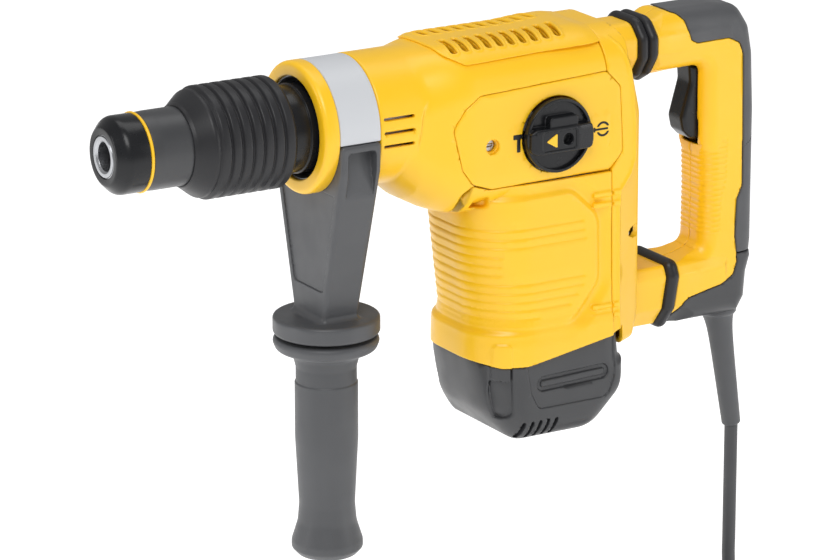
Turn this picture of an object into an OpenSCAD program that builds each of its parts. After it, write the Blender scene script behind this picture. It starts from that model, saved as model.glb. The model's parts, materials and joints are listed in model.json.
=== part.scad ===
// Demolition hammer with a pneumatic striking mechanism, a turning side handle,
// a sprung D-shaped rear handle and a 4 m mains cord.
// The origin is the mouth of the bit socket. The hammer axis is X: the bit leaves towards -X,
// the rear handle is at +X, and +Z is up. All sizes are in millimetres.

/* [Tool socket] */
// Radius of the bit socket's bore, for an 18 mm shank
socket_r = 9.05; // [9.02:0.01:9.1]
// Depth of the bit socket
socket_depth = 80; // [76:1:80]
// Radius of the nose cap
nose_r = 24; // [22:0.5:24]
// Radius over the locking boot's ribs
boot_r = 35.5; // [34:0.5:37]
// Travel of the locking sleeve
sleeve_travel = 10; // [6:1:12]

/* [Barrel and side handle] */
// Outer radius of the barrel under the clamp band
barrel_r = 36; // [35.5:0.1:36]
// Outer radius of the clamp band and of the yellow barrel
band_r = 41; // [40:0.1:42]
// Width of the clamp band
band_w = 28.6; // [26:0.2:28.6]
// Distance from the hammer axis to the end of the side grip
side_reach = 283; // [265:1:290]
// Radius of the hand guard flange
flange_r = 34; // [30:0.5:34]

/* [Housing] */
// Half of the gear and motor housing's width
half_w = 46; // [46:0.5:48]
// Wall thickness of the housings
wall = 3.5; // [3:0.1:3.5]
// Height of the motor cap's bottom
cap_bottom = -221; // [-224:0.5:-219]

/* [Striking mechanism] */
// Radius of the cylinder's bore
cylinder_r = 16.05; // [16.02:0.01:16.1]
// Stroke of the piston
stroke = 30; // [24:1:30]
// Position of the crank's axis
crank_x = 312; // [312:0.5:313]

/* [Gears] */
// Module of the gear pair
gear_module = 1; // [1:1:1]
// Teeth on the motor pinion
pinion_teeth = 8; // [8:1:8]
// Teeth on the crank gear
crank_teeth = 48; // [48:2:48]

/* [Rear handle] */
// Half of the rear handle's width
handle_half_w = 18; // [17:0.5:20]
// Rearmost point of the handle
handle_back = 470; // [468:0.5:472]

/* [Power cord] */
// Diameter of the cord
cord_d = 9; // [8:0.5:9]
// Mean radius of the stored coil
coil_r = 52.5; // [50:0.5:54]

/* [Hidden] */
fine = 64;
play = 0.05;
gap = 0.3;
motor_x = crank_x - gear_module * (pinion_teeth + crank_teeth) / 2;
band_x0 = 142.2;
band_x1 = band_x0 + band_w;
barrel_front = 132;
housing_front = 220;
seam_x = 347;
motor_front = 240;
housing_top = 43;
panel_y = -half_w - 0.4;
side_x = 155.5;
dial_x = 295.5;
dial_z = -16;
handle_front = 389;
handle_low_front = 407;
rod_length = 52;
piston_pin_x = crank_x - stroke / 2 - rod_length;
upper_pin_z = 23;
lower_pin_z = -140;
trigger_pivot = [440, -2];
relief_top = [453.8, 0, -168.4];
relief_end = [466.7, 0, -250.5];
coil_layers = 4;
coil_columns = 3;
floor_z = -420;
coil_centre = [414.2, -40, floor_z];
coil_top = floor_z + coil_layers * cord_d;
cord_route = [
    [466.7, 0, -250.5], [466.7, 0, -270], [466.7, 0, -290], [466.7, 0, -310], [466.7, 0, -330],
    [466.7, 0, -345], [466.7, -2, -358], [466.7, -8, -370], [466.7, -17, -380], [466.7, -28, -386],
    [466.7, -40, -388.5]];

// ---- Shared shapes ----

module block(low, high) {
    translate(low) cube(high - low);
}

// Straight round bar along X
module rod_x(x0, x1, r, y = 0, z = 0) {
    translate([x0, y, z]) rotate([0, 90, 0]) cylinder(h = x1 - x0, r = r, $fn = fine);
}

// Straight round bar along Y
module rod_y(y0, y1, r, x, z) {
    translate([x, y1, z]) rotate([90, 0, 0]) cylinder(h = y1 - y0, r = r, $fn = fine);
}

// Straight round bar along Z
module rod_z(z0, z1, r, x, y = 0) {
    translate([x, y, z0]) cylinder(h = z1 - z0, r = r, $fn = fine);
}

// Solid turned about the hammer axis: each point is [radius, x]
module turned_x(profile) {
    rotate([0, 90, 0]) rotate_extrude($fn = fine) polygon([for (p = profile) [p[0], p[1]]]);
}

// Solid turned about a vertical axis: each point is [radius, z]
module turned_z(profile, x, y = 0) {
    translate([x, y, 0]) rotate_extrude($fn = fine) polygon(profile);
}

// Side outline in X and Z, extruded along Y
module side_plate(outline, y0, y1) {
    translate([0, y1, 0]) rotate([90, 0, 0]) linear_extrude(height = y1 - y0) polygon(outline);
}

// Cross-section in Y and Z, extruded along X
module along_x(x0, x1) {
    translate([x0, 0, 0]) rotate([90, 0, 90]) linear_extrude(height = x1 - x0) children();
}

// Rectangle with rounded corners
module soft_rect(u0, u1, v0, v1, r) {
    translate([u0 + r, v0]) square([u1 - u0 - 2 * r, v1 - v0]);
    translate([u0, v0 + r]) square([u1 - u0, v1 - v0 - 2 * r]);
    for (u = [u0 + r, u1 - r], v = [v0 + r, v1 - r]) translate([u, v]) circle(r = r, $fn = fine);
}

// Upper housing's cross-section, drawn in by inset
module upper_section(inset) {
    soft_rect(-half_w + inset, half_w - inset, -24, housing_top - inset, 26 - inset);
    translate([-half_w + inset, -50]) square([2 * (half_w - inset), 44]);
}

// Motor housing's plan, drawn in by inset, with a deep radius on the front corners
module motor_plan(inset, rear = seam_x) {
    nose = 38 - inset;
    x0 = motor_front + inset;
    w = half_w - inset;
    translate([x0 + nose, -w]) square([rear - inset - x0 - nose, 2 * w]);
    translate([x0, -w + nose]) square([nose + 1, 2 * (w - nose)]);
    for (s = [-1, 1]) translate([x0 + nose, s * (w - nose)]) circle(r = nose, $fn = fine);
}

// Tube swept along points by a ring of sides, for springs and for the cord
function unit(v) = v / norm(v);
function heading(p, i) = unit(p[min(i + 1, len(p) - 1)] - p[max(i - 1, 0)]);
function across(d, ref) = unit(cross(d, ref));
module swept(p, r, sides, ref) {
    n = len(p);
    points = [for (i = [0 : n - 1], k = [0 : sides - 1])
        let (d = heading(p, i), u = across(d, ref), v = cross(u, d), a = 360 * k / sides)
        p[i] + r * (cos(a) * u + sin(a) * v)];
    walls = [for (i = [0 : n - 2], k = [0 : sides - 1])
        let (j = (k + 1) % sides)
        [i * sides + k, i * sides + j, (i + 1) * sides + j, (i + 1) * sides + k]];
    first = [for (k = [0 : sides - 1]) sides - 1 - k];
    last = [for (k = [0 : sides - 1]) (n - 1) * sides + k];
    polyhedron(points = points, faces = concat([first], walls, [last]), convexity = 8);
}

// Compression spring along X
module spring_x(x0, x1, mean_r, wire_r, turns, z = 0) {
    steps = 14 * turns;
    route = [for (i = [0 : steps])
        let (a = 360 * turns * i / steps)
        [x0 + wire_r + (x1 - x0 - 2 * wire_r) * i / steps, mean_r * cos(a), z + mean_r * sin(a)]];
    swept(route, wire_r, 8, [1, 0, 0]);
}

// ---- Involute gears ----

pressure = 25;
addendum = 0.7;
dedendum = 1.0;
backlash = 0.16;
flank_steps = 4;
function involute(a) = tan(a) * 180 / PI - a;
function flank_angle(teeth, r) =
    let (pitch_r = gear_module * teeth / 2, base_r = pitch_r * cos(pressure))
    90 / teeth - backlash / 2 / pitch_r * 180 / PI + involute(pressure)
    - involute(acos(min(1, base_r / r)));
function polar(r, a) = [r * cos(a), r * sin(a)];
function tooth(teeth, at) =
    let (pitch_r = gear_module * teeth / 2,
         base_r = pitch_r * cos(pressure),
         root_r = pitch_r - dedendum * gear_module,
         tip_r = pitch_r + addendum * gear_module,
         low_r = max(base_r, root_r),
         radii = [for (i = [0 : flank_steps]) low_r + (tip_r - low_r) * i / flank_steps])
    concat(
        [polar(root_r, at - flank_angle(teeth, low_r))],
        [for (r = radii) polar(r, at - flank_angle(teeth, r))],
        [for (i = [flank_steps : -1 : 0]) polar(radii[i], at + flank_angle(teeth, radii[i]))],
        [polar(root_r, at + flank_angle(teeth, low_r))]);
module gear(teeth, turn) {
    polygon([for (i = [0 : teeth - 1]) each tooth(teeth, turn + 360 * i / teeth)]);
}

// ---- Tool holder and locking sleeve ----

holder_r = 15.5;
seat_r = 20;
guide_r = 10.05;
chamber_r = 14.05;
spring_seat_x = 92;
sleeve_end = spring_seat_x + 6 - sleeve_travel;

module tool_holder_tube() {
    color("#8c8f92") difference() {
        turned_x([[socket_r, 0], [13.5, 0], [13.5, 10], [holder_r, 10],
            [holder_r, spring_seat_x], [seat_r, spring_seat_x], [seat_r, 148],
            [chamber_r, 148], [chamber_r, 108], [guide_r, 108], [guide_r, socket_depth + 2],
            [11, socket_depth + 2], [11, socket_depth],
            [socket_r, socket_depth]]);
        for (s = [-1, 1]) translate([40, s * 14, -3.3]) translate([0, -4.7, 0]) cube([13, 9.4, 6.6]);
    }
}

module nose_cap() {
    color("#1c1d1f") turned_x([[13.6, 0.4], [17, 0.4], [21, 3], [nose_r - 0.7, 8], [nose_r, 14],
        [nose_r, 20.9], [15.6, 20.9], [15.6, 9.9], [13.6, 9.9]]);
}

module nose_ring() {
    color("#f0b81a") turned_x([[15.6, 21], [nose_r + 0.6, 21], [nose_r + 1, 22],
        [nose_r + 0.6, 23], [15.6, 23]]);
}

module lock_rollers() {
    color("#b9bcc0") for (s = [-1, 1]) rod_x(40.4, 52.6, 3, s * 12.4);
}

module front_sleeve() {
    color("#3a3b3e") turned_x([[15.6, 23.3], [nose_r, 23.3], [nose_r, sleeve_end],
        [20.5, sleeve_end], [20.5, 34], [15.6, 34]]);
}

rib_count = 7;
rib_pitch = 7.4;
module lock_boot() {
    ribs_x = 63;
    rib_depth = 2.4;
    ribs = [for (i = [0 : rib_count - 1]) each [
        [boot_r - rib_depth, ribs_x + rib_pitch * i],
        [boot_r, ribs_x + rib_pitch * (i + 0.35)],
        [boot_r, ribs_x + rib_pitch * (i + 0.75)]]];
    color("#2b2c2e") turned_x(concat(
        [[nose_r + play, 50], [nose_r + 1, 50], [boot_r - 4, 61]],
        ribs,
        [[boot_r - 3, 116], [29, 117], [29, sleeve_end + 2], [nose_r + play, sleeve_end + 2]]));
}

module sleeve_spring() {
    color("#9a9da0") spring_x(35, 91, 17.9, 1.2, 7);
}

module impact_bolt() {
    color("#a5a8ab") turned_x([[0, 86], [8.5, 86], [10, 88], [10, 112], [14, 112], [14, 124],
        [10, 126], [10, 138], [8.5, 140], [0, 140]]);
}

// ---- Barrel ----

module nose_tube() {
    color("#232426") turned_x([[24, 112], [26.5, 112], [27.5, 113], [27.5, 150], [31.9, 150],
        [31.9, 160], [24, 160]]);
}

module holder_bearing() {
    color("#b0823a") turned_x([[seat_r + play, 122], [23.95, 122], [23.95, 146],
        [seat_r + play, 146]]);
}

module barrel_tube() {
    color("#9ea1a4") turned_x([[32, barrel_front + 3], [barrel_r, barrel_front + 3],
        [barrel_r, 238], [28, 238], [28, 161], [32, 161]]);
}

module barrel_collar() {
    color("#f5c21e") turned_x([[32.5, barrel_front], [37.5, barrel_front],
        [band_r - 0.5, barrel_front + 3.5], [band_r - 0.5, band_x0 - gap], [barrel_r + play, band_x0 - gap],
        [barrel_r + play, barrel_front + 2.9], [32.5, barrel_front + 2.9]]);
}

// ---- Upper housing ----

panel_outline = [[232, 14], [334, 18], [343, 8], [343, -34], [336, -45], [250, -46], [236, -41],
    [228, -31], [223, -4]];
screw_access = [249, -18];
housing_screw_y = 35.5;
housing_screw_z = [26, -92];

module panel_window() {
    translate([0, -half_w + wall + 1, 0]) rotate([90, 0, 0]) linear_extrude(height = wall + 3)
        polygon([for (p = panel_outline)
            [284 + (p[0] - 284) * 1.006, -14 + (p[1] + 14) * 1.012]]);
}

// Curved belly between the barrel and the motor housing: its outside and its hollow
belly_outline = [[184, -22], [190, -40], [206, -54], [226, -64], [239, -66], [239, -22]];
belly_hollow = [[188, -20], [196, -38], [209, -49.5], [227, -60], [236, -62], [236, -50.1],
    [243, -50.1], [243, -20]];
module belly(points, narrow, wide) {
    intersection() {
        side_plate(points, -wide, wide);
        union() {
            block([180, -narrow, -70], [housing_front, narrow, -20]);
            block([housing_front, -wide, -70], [245, wide, -20]);
        }
        rod_x(180, 245, wide + 13, 0, -8);
    }
}

module gear_housing() {
    color("#f5c21e") difference() {
        union() {
            rod_x(band_x1 + gap, housing_front + 2, band_r);
            along_x(housing_front, seam_x) upper_section(0);
            belly(belly_outline, 36, half_w);
        }
        rod_x(band_x1, motor_front + 2, barrel_r + 0.1);
        belly(belly_hollow, 36 - wall, half_w - wall);
        along_x(housing_front + wall, seam_x + 1) intersection() {
            upper_section(wall);
            translate([-60, -46]) square([120, 100]);
        }
        block([motor_front - 4, -half_w + wall, -51], [seam_x + 1, half_w - wall, -20]);
        panel_window();
        for (z = [8.5, 0, -8.5], s = [-1, 1])
            block([174, s * 38.5 - 4, z - 0.9], [195, s * 38.5 + 4, z + 0.9]);
        for (i = [0 : 9], s = [-1, 1])
            block([238 + 9 * i, s * 24 - 8, housing_top - wall - 1],
                [242 + 9 * i, s * 24 + 8, housing_top + 1]);
    }
    color("#f5c21e") for (s = [-1, 1]) difference() {
        rod_x(332, seam_x, 6.9, s * housing_screw_y, housing_screw_z[0]);
        rod_x(331, seam_x + 1, 2.05, s * housing_screw_y, housing_screw_z[0]);
    }
}

bonnet_lift = 2;
bonnet_front = 222;
module bonnet_section(lift) {
    soft_rect(-half_w - lift, half_w + lift, -24, housing_top + lift, 26 + lift);
}
module vent_bonnet() {
    low_z = 33;
    color("#ffd83a") difference() {
        intersection() {
            along_x(bonnet_front, 334) bonnet_section(bonnet_lift);
            block([185, -38, low_z], [335, 38, 60]);
        }
        along_x(bonnet_front - 1, 335) bonnet_section(play);
        for (i = [0 : 9], s = [-1, 1])
            block([237 + 9 * i, min(s * 16, s * 34), housing_top - 2],
                [242 + 9 * i, max(s * 16, s * 34), housing_top + bonnet_lift + 1]);
    }
}

module selector_panel() {
    color("#f3bf1c") difference() {
        side_plate(panel_outline, panel_y, -half_w + wall);
        rod_y(panel_y - 1, -half_w + wall + 1, 7.1, dial_x, dial_z);
        rod_y(panel_y - 1, -half_w + wall + 1, 4.6, screw_access[0], screw_access[1]);
    }
}

module mode_dial() {
    color("#17181a") difference() {
        union() {
            rod_y(panel_y - 5, panel_y - 0.2, 24, dial_x, dial_z);
            rod_y(panel_y - 0.3, -41, 7, dial_x, dial_z);
            block([dial_x - 22, panel_y - 10, dial_z - 7.5], [dial_x + 22, panel_y - 4, dial_z + 7.5]);
            block([dial_x - 9, panel_y - 8, dial_z + 7], [dial_x + 12, panel_y - 4, dial_z + 13]);
        }
        rod_y(panel_y - 11, panel_y - 3, 3.6, dial_x + 4, dial_z);
    }
}

module dial_pointer() {
    color("#f5c21e") side_plate([[dial_x - 12, dial_z], [dial_x - 4, dial_z - 4.5],
        [dial_x - 4, dial_z + 4.5]], panel_y - 10.4, panel_y - 10.05);
}

// ---- Striking mechanism ----

crank_bearing_r = 14;
motor_bearing_r = 11;
case_top = -38.5;

module gear_case() {
    color("#a9acae") difference() {
        union() {
            block([236, -38, -49.8], [330, 38, case_top]);
            block([239.5, -34, case_top - 1], [251, 34, 34]);
        }
        rod_x(230, 260, 20 + play);
        rod_z(-51, case_top + 1, crank_bearing_r + play, crank_x);
        rod_z(-51, case_top + 1, motor_bearing_r + play, motor_x);
    }
}

module cylinder_tube() {
    color("#8e9194") turned_x([[cylinder_r, 152], [20, 152], [20, 161.5], [27.9, 161.5],
        [27.9, 168], [20, 168], [20, 268], [cylinder_r, 268]]);
}

seal_depth = 1.6;
module ram() {
    color("#9a9da0") turned_x([[0, 160], [8, 160], [9.5, 162], [9.5, 176], [15, 176], [16, 178],
        [16, 190], [16 - seal_depth, 190], [16 - seal_depth, 193.2], [16, 193.2], [16, 218],
        [0, 218]]);
}

module ram_seal() {
    color("#1a1a1a") turned_x([[16 - seal_depth + play, 190.1], [15.98, 190.1], [15.98, 193.1],
        [16 - seal_depth + play, 193.1]]);
}

pin_r = 5;
module piston() {
    face_x = piston_pin_x - 16;
    color("#b4b7ba") difference() {
        turned_x([[0, face_x], [15.5, face_x], [16, face_x + 0.8], [16, face_x + 4],
            [16 - seal_depth, face_x + 4], [16 - seal_depth, face_x + 7.2], [16, face_x + 7.2],
            [16, piston_pin_x + 11], [0, piston_pin_x + 11]]);
        block([piston_pin_x - 10.5, -11, -7], [piston_pin_x + 12, 11, 7]);
        rod_z(-17, 17, pin_r + play, piston_pin_x);
    }
}

module piston_seal() {
    face_x = piston_pin_x - 16;
    color("#1a1a1a") turned_x([[16 - seal_depth + play, face_x + 4.1], [15.98, face_x + 4.1],
        [15.98, face_x + 7.1], [16 - seal_depth + play, face_x + 7.1]]);
}

module piston_pin() {
    color("#c4c7ca") rod_z(-14, 14, pin_r, piston_pin_x);
}

module connecting_rod() {
    big_x = piston_pin_x + rod_length;
    color("#a0a3a6") difference() {
        union() {
            rod_z(-6.5, 6.5, 8.5, piston_pin_x);
            rod_z(-6.5, 6.5, 11, big_x);
            block([piston_pin_x, -4.5, -5], [big_x, 4.5, 5]);
        }
        rod_z(-8, 8, pin_r + play, piston_pin_x);
        rod_z(-8, 8, 6.1, big_x);
    }
}

crank_pin_top = -7;
module crank_gear() {
    color("#8f9295") union() {
        rod_z(-49, -36, 7.5, crank_x);
        translate([crank_x, 0, -36]) linear_extrude(height = 11) gear(crank_teeth, 0);
        rod_z(-25, -22, 12, crank_x);
        difference() {
            rod_z(-22, -10, 22, crank_x);
            for (s = [-1, 1]) block([crank_x - 23, s * 17 - 6, -23], [crank_x - 6, s * 17 + 6, -9]);
        }
        rod_z(-11, crank_pin_top, 6, crank_x - stroke / 2);
    }
}

module bearing(x, z0, z1, bore_r, outer_r) {
    mid = (bore_r + outer_r) / 2;
    difference() {
        rod_z(z0, z1, outer_r, x);
        rod_z(z0 - 1, z1 + 1, bore_r, x);
        for (z = [z0 - 1, z1 - 0.6]) difference() {
            rod_z(z, z + 1.6, mid + 1.6, x);
            rod_z(z - 1, z + 2.6, mid - 1.6, x);
        }
    }
}
module ball_bearings() {
    color("#c9ccce") {
        bearing(crank_x, -48, -39.5, 7.5 + play, crank_bearing_r);
        bearing(motor_x, -48, -41, 5 + play, motor_bearing_r);
        bearing(motor_x, -173, -166, 5 + play, motor_bearing_r);
    }
}

// ---- Motor ----

cap_screws = [[272, 36.9], [330, 37.5]];

module motor_housing() {
    color("#f5c21e") difference() {
        union() {
            translate([0, 0, -154]) linear_extrude(height = 103.8) motor_plan(0);
            for (i = [0 : 11])
                translate([0, 0, -136 + 6.2 * i]) linear_extrude(height = 3) motor_plan(-0.8, 326);
        }
        translate([0, 0, -155]) linear_extrude(height = 106) motor_plan(wall, seam_x + 10);
    }
    color("#f5c21e") for (p = cap_screws, s = [-1, 1]) difference() {
        rod_z(-154, -140, 4.9, p[0], s * p[1]);
        rod_z(-155, -139, 2.05, p[0], s * p[1]);
    }
    color("#f5c21e") for (s = [-1, 1]) difference() {
        rod_x(332, seam_x, 6.9, s * housing_screw_y, housing_screw_z[1]);
        rod_x(331, seam_x + 1, 2.05, s * housing_screw_y, housing_screw_z[1]);
    }
}

cap_top = -154.3;
cap_rear = 360;
module cap_shape(inset) {
    intersection() {
        side_plate([[motor_front + inset, cap_top + inset], [seam_x - 0.2 - inset, cap_top + inset],
            [seam_x - 0.2 - inset, -170 - inset / 2], [cap_rear - inset, -170 - inset],
            [cap_rear - inset, -194], [353 - inset, -211], [337, cap_bottom + inset],
            [277, cap_bottom + inset], [268 + inset, -217 + inset], [252 + inset, -190],
            [242 + inset, -166]], -half_w, half_w);
        translate([0, 0, cap_bottom - 1]) linear_extrude(height = 90)
            motor_plan(inset, cap_rear + inset);
    }
}

module motor_cap() {
    color("#3b3d40") difference() {
        cap_shape(0);
        cap_shape(wall);
        translate([0, 0, -160]) linear_extrude(height = 8) motor_plan(wall);
        for (i = [0 : 5]) block([262 + 8 * i, -half_w - 1, -206], [265 + 8 * i, half_w + 1, -196]);
    }
    color("#3b3d40") for (p = cap_screws, s = [-1, 1]) difference() {
        rod_z(-180, cap_top, 4.9, p[0], s * p[1]);
        rod_z(-181, cap_top + 1, 2.1, p[0], s * p[1]);
    }
}

stator_z0 = -128;
stator_z1 = -78;
coil_half_angle = 44;

// Ring segment about the motor's axis, centred on the angle at
module sector(r0, r1, z0, z1, at, half_angle) {
    translate([motor_x, 0, 0]) rotate([0, 0, at - half_angle])
        rotate_extrude(angle = 2 * half_angle, $fn = fine)
            translate([r0, z0]) square([r1 - r0, z1 - z0]);
}

module stator_core() {
    color("#6f7276") difference() {
        rod_z(stator_z0, stator_z1, 39, motor_x);
        rod_z(stator_z0 - 1, stator_z1 + 1, 22.6, motor_x);
        for (a = [0, 180]) sector(20, 33, stator_z0 - 1, stator_z1 + 1, a, coil_half_angle + 2);
    }
}

module field_coils() {
    color("#b4642a") for (a = [0, 180]) sector(24, 32, stator_z0 - 8, stator_z1 + 8, a,
        coil_half_angle);
}

module armature_shaft() {
    color("#9a9da0") {
        rod_z(-178, -36, 5, motor_x);
        translate([motor_x, 0, -36.01]) linear_extrude(height = 11.5)
            gear(pinion_teeth, 180 / pinion_teeth);
    }
}

module armature_core() {
    color("#7d5c3a") difference() {
        rod_z(-126, -80, 22, motor_x);
        rod_z(-127, -79, 5 + play, motor_x);
        for (i = [0 : 11]) translate([motor_x, 0, -127]) rotate([0, 0, 30 * i])
            translate([20, -0.8, 0]) cube([4, 1.6, 48]);
    }
}

module commutator() {
    color("#c07a3c") difference() {
        rod_z(-158, -138, 14, motor_x);
        rod_z(-159, -137, 5 + play, motor_x);
        for (i = [0 : 11]) translate([motor_x, 0, -159]) rotate([0, 0, 30 * i])
            translate([13, -0.3, 0]) cube([2, 0.6, 22]);
    }
}

module cooling_fan() {
    color("#2a2b2d") difference() {
        union() {
            rod_z(-66, -64, 32, motor_x);
            rod_z(-66, -54, 9, motor_x);
            for (i = [0 : 10]) translate([motor_x, 0, -64.5]) rotate([0, 0, 360 / 11 * i])
                translate([8, -1, 0]) cube([23, 2, 9.5]);
        }
        rod_z(-67, -53, 5 + play, motor_x);
    }
}

module brush_holders() {
    color("#b48a3c") for (s = [0, 180]) translate([motor_x, 0, 0]) rotate([0, 0, s]) difference() {
        block([16, -6, -154], [33, 6, -142]);
        block([15, -4.2, -152.2], [34, 4.2, -143.8]);
    }
}

module carbon_brushes() {
    color("#2f2f31") for (s = [0, 180]) translate([motor_x, 0, 0]) rotate([0, 0, s])
        block([14.2, -4, -152], [28, 4, -144]);
}

module end_bracket() {
    color("#26272a") difference() {
        union() {
            rod_z(-174, -165.5, 33, motor_x);
            for (s = [-1, 1]) rod_z(-166, -154.1, 4, motor_x + s * 25);
        }
        rod_z(-175, -164, motor_bearing_r + play, motor_x);
    }
}

module electronics_module() {
    color("#222c26") block([276, -28, -212], [334, 28, -188]);
}

// ---- Rear housing ----

rear_end = 371;
// Depth of the counterbore over each housing screw's head
screw_sink = 4;
stub_top_x = 373.7;
stub_low_x = 397.2;

module rear_shape(inset) {
    intersection() {
        along_x(seam_x + 0.1, rear_end - inset) union() {
            upper_section(4 + inset);
            translate([-42 + inset, -169 + inset]) square([84 - 2 * inset, 130]);
        }
        translate([0, 0, -170]) linear_extrude(height = 220)
            soft_rect(320, rear_end - inset, -42 + inset, 42 - inset, 14 - inset);
    }
}

// Front end of the lower spring, in its pocket
low_spring_x = 391.5;
spring_pocket_r = 8.6;

module stub(x0, x1, hw, z0, z1, r) {
    along_x(x0, x1) soft_rect(-hw, hw, z0, z1, r);
}

module rear_housing() {
    color("#f5c21e") difference() {
        union() {
            difference() {
                rear_shape(0);
                block([340, -60, -169.3], [seam_x + 3, 60, -154.2]);
                difference() {
                    rear_shape(wall);
                    for (z = [upper_pin_z, lower_pin_z]) rod_x(340, rear_end, 9, 0, z);
                }
            }
            stub(rear_end - 1, stub_top_x, 21, 6, 40, 10);
            stub(rear_end - 1, stub_low_x, 21, -166, -114, 8);
            for (s = [-1, 1], z = housing_screw_z) rod_x(seam_x + 0.1, rear_end - 2, 4, s * 33, z);
        }
        for (z = [upper_pin_z, lower_pin_z]) rod_x(340, stub_low_x + 1, 4 + play, 0, z);
        rod_x(low_spring_x, stub_low_x + 1, spring_pocket_r, 0, lower_pin_z);
        for (s = [-1, 1], z = housing_screw_z)
            rod_x(seam_x - 1, rear_end + 1, 2.1, s * housing_screw_y, z);
        for (s = [-1, 1], z = housing_screw_z)
            rod_x(rear_end - screw_sink, rear_end + 1, 3.8, s * housing_screw_y, z);
    }
}

// Countersunk screw along X, its head at the rear
module screw_x(x0, x1, y, z) {
    rod_x(x0, x1, 2, y, z);
    rod_x(x1 - 0.01, x1 + 2.5, 3.6, y, z);
}

module housing_screws() {
    color("#7a7d80") {
        for (s = [-1, 1], z = housing_screw_z) 
            screw_x(336, rear_end - screw_sink + 0.1, s * housing_screw_y, z);
        for (p = cap_screws, s = [-1, 1]) {
            rod_z(-180.2, -142, 2, p[0], s * p[1]);
            rod_z(-182.7, -180.1, 3.6, p[0], s * p[1]);
        }
        rod_y(-41.5, -39.5, 4.2, screw_access[0], screw_access[1]);
    }
}

// ---- Rear handle ----

module bellows(x0, x1, hw, z0, z1, r, rings) {
    pitch = (x1 - x0) / rings;
    difference() {
        union() {
            stub(x0, x1, hw - 3, z0 + 3, z1 - 3, r);
            for (i = [0 : rings - 1])
                stub(x0 + pitch * (i + 0.15), x0 + pitch * (i + 0.85), hw, z0, z1, r + 3);
        }
        stub(x0 - 1, x1 + 1, hw - 6, z0 + 6, z1 - 6, max(r - 3, 2));
    }
}

module upper_bellows() {
    color("#1f2022") bellows(stub_top_x + 0.1, handle_front - 0.1, 24, 3, 45, 9, 2);
}

module lower_bellows() {
    color("#27282a") bellows(stub_low_x + 0.1, handle_low_front - 0.1, 24, -168, -111.5, 6,
        1);
}

module guide_pins() {
    color("#c0c3c6") {
        rod_x(352, handle_front + 10, 4, 0, upper_pin_z);
        rod_x(366, handle_low_front + 10, 4, 0, lower_pin_z);
    }
}

module handle_springs() {
    color("#9a9da0") {
        spring_x(stub_top_x + 0.2, handle_front - 0.2, 6.5, 1.1, 4, upper_pin_z);
        spring_x(low_spring_x + 0.2, handle_low_front - 0.2, 6.5, 1.1, 4, lower_pin_z);
    }
}

core_back = handle_back - 8.2;
handle_outline = [[handle_front, 43], [402, 43], [402, 39.3], [452, 39.3], [core_back, 30],
    [core_back, -118], [456, -130], [446, -143], [420, -149.5], [412, -165.6],
    [handle_low_front, -166], [handle_low_front, -112.4], [423, -112.4], [430, -106],
    [430, -53], [435, -50.5], [435, 4], [handle_front, 4]];
handle_boss_r = 4.5;
handle_bosses = [[417, 29], [450, 27], [451, -98], [432, -135]];
handle_pins = [[handle_front, upper_pin_z], [handle_low_front, lower_pin_z]];

module handle_body() {
    hw = handle_half_w;
    inner_hw = hw - 3;
    cavity_back = core_back - 3.3;
    difference() {
        union() {
            difference() {
                side_plate(handle_outline, -hw, hw);
                block([handle_front + 3, -inner_hw, 7], [cavity_back, inner_hw, 36.3]);
                block([438, -inner_hw, -114], [cavity_back, inner_hw, 8]);
                block([433, -inner_hw, -114], [439, inner_hw, -54]);
                block([handle_low_front + 3, -inner_hw, -146], [440, inner_hw, -115]);
            }
            for (p = handle_bosses) rod_y(1 - hw, hw - 1, handle_boss_r, p[0], p[1]);
            for (p = handle_pins) rod_x(p[0] + 1, p[0] + 11, 8, 0, p[1]);
        }
        for (p = handle_pins) rod_x(p[0] - 1, p[0] + 10.2, 4 + play, 0, p[1]);
        block([426, -9, -48], [442, 9, 3.6]);
        rod_y(-16, 16, 3 + play, trigger_pivot[0], trigger_pivot[1]);
        for (p = handle_bosses) {
            rod_y(4 - hw, hw + 1, 1.7, p[0], p[1]);
            rod_y(hw - 2.6, hw + 1, 3.4, p[0], p[1]);
        }
    }
}

module handle_left_shell() {
    color("#f5c21e") intersection() {
        handle_body();
        block([380, 0, -200], [480, 60, 80]);
    }
}

module handle_right_shell() {
    color("#f5c21e") intersection() {
        handle_body();
        block([380, -60, -200], [480, 0, 80]);
    }
}

module handle_screws() {
    hw = handle_half_w;
    color("#7a7d80") for (p = handle_bosses) {
        rod_y(5 - hw, hw - 2.5, 1.6, p[0], p[1]);
        rod_y(hw - 2.51, hw - 0.4, 3.1, p[0], p[1]);
    }
}

module handle_overmold() {
    hw = handle_half_w;
    rear = core_back + 0.2;
    color("#4a4c50") {
        side_plate([[402.2, 39.5], [452.1, 39.5], [rear, 30.2], [rear, 10], [466, 10],
            [468, 20], [467, 28], [462, 36], [452, 41], [440, 43], [402.2, 43]], -hw, hw);
        side_plate([[rear, 9.9], [rear, -118], [handle_back, -118], [handle_back, 9.9]], -14, 14);
    }
}

module cord_bracket() {
    hw = handle_half_w;
    color("#47494d") side_plate([[412.3, -166], [420.2, -149.8], [446.3, -143.2],
        [456.3, -130.2], [core_back + 0.2, -118.3], [handle_back, -118.3],
        [handle_back, -140], [465, -154], [460, -166]], -hw, hw);
}

module switch_module() {
    color("#1d1e20") block([446.5, -12, -52], [458, 12, -4]);
}

trigger_outline = [[419, 3], [420, -8], [416.5, -20], [414, -31], [417, -39], [424, -44.5],
    [437, -44.5], [438, -20], [443, -4], [442, 1], [436, 3]];
module trigger() {
    color("#141517") union() {
        side_plate(trigger_outline, -8.4, 8.4);
        rod_y(-15.8, 15.8, 3, trigger_pivot[0], trigger_pivot[1]);
    }
}

// ---- Cord ----

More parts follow.
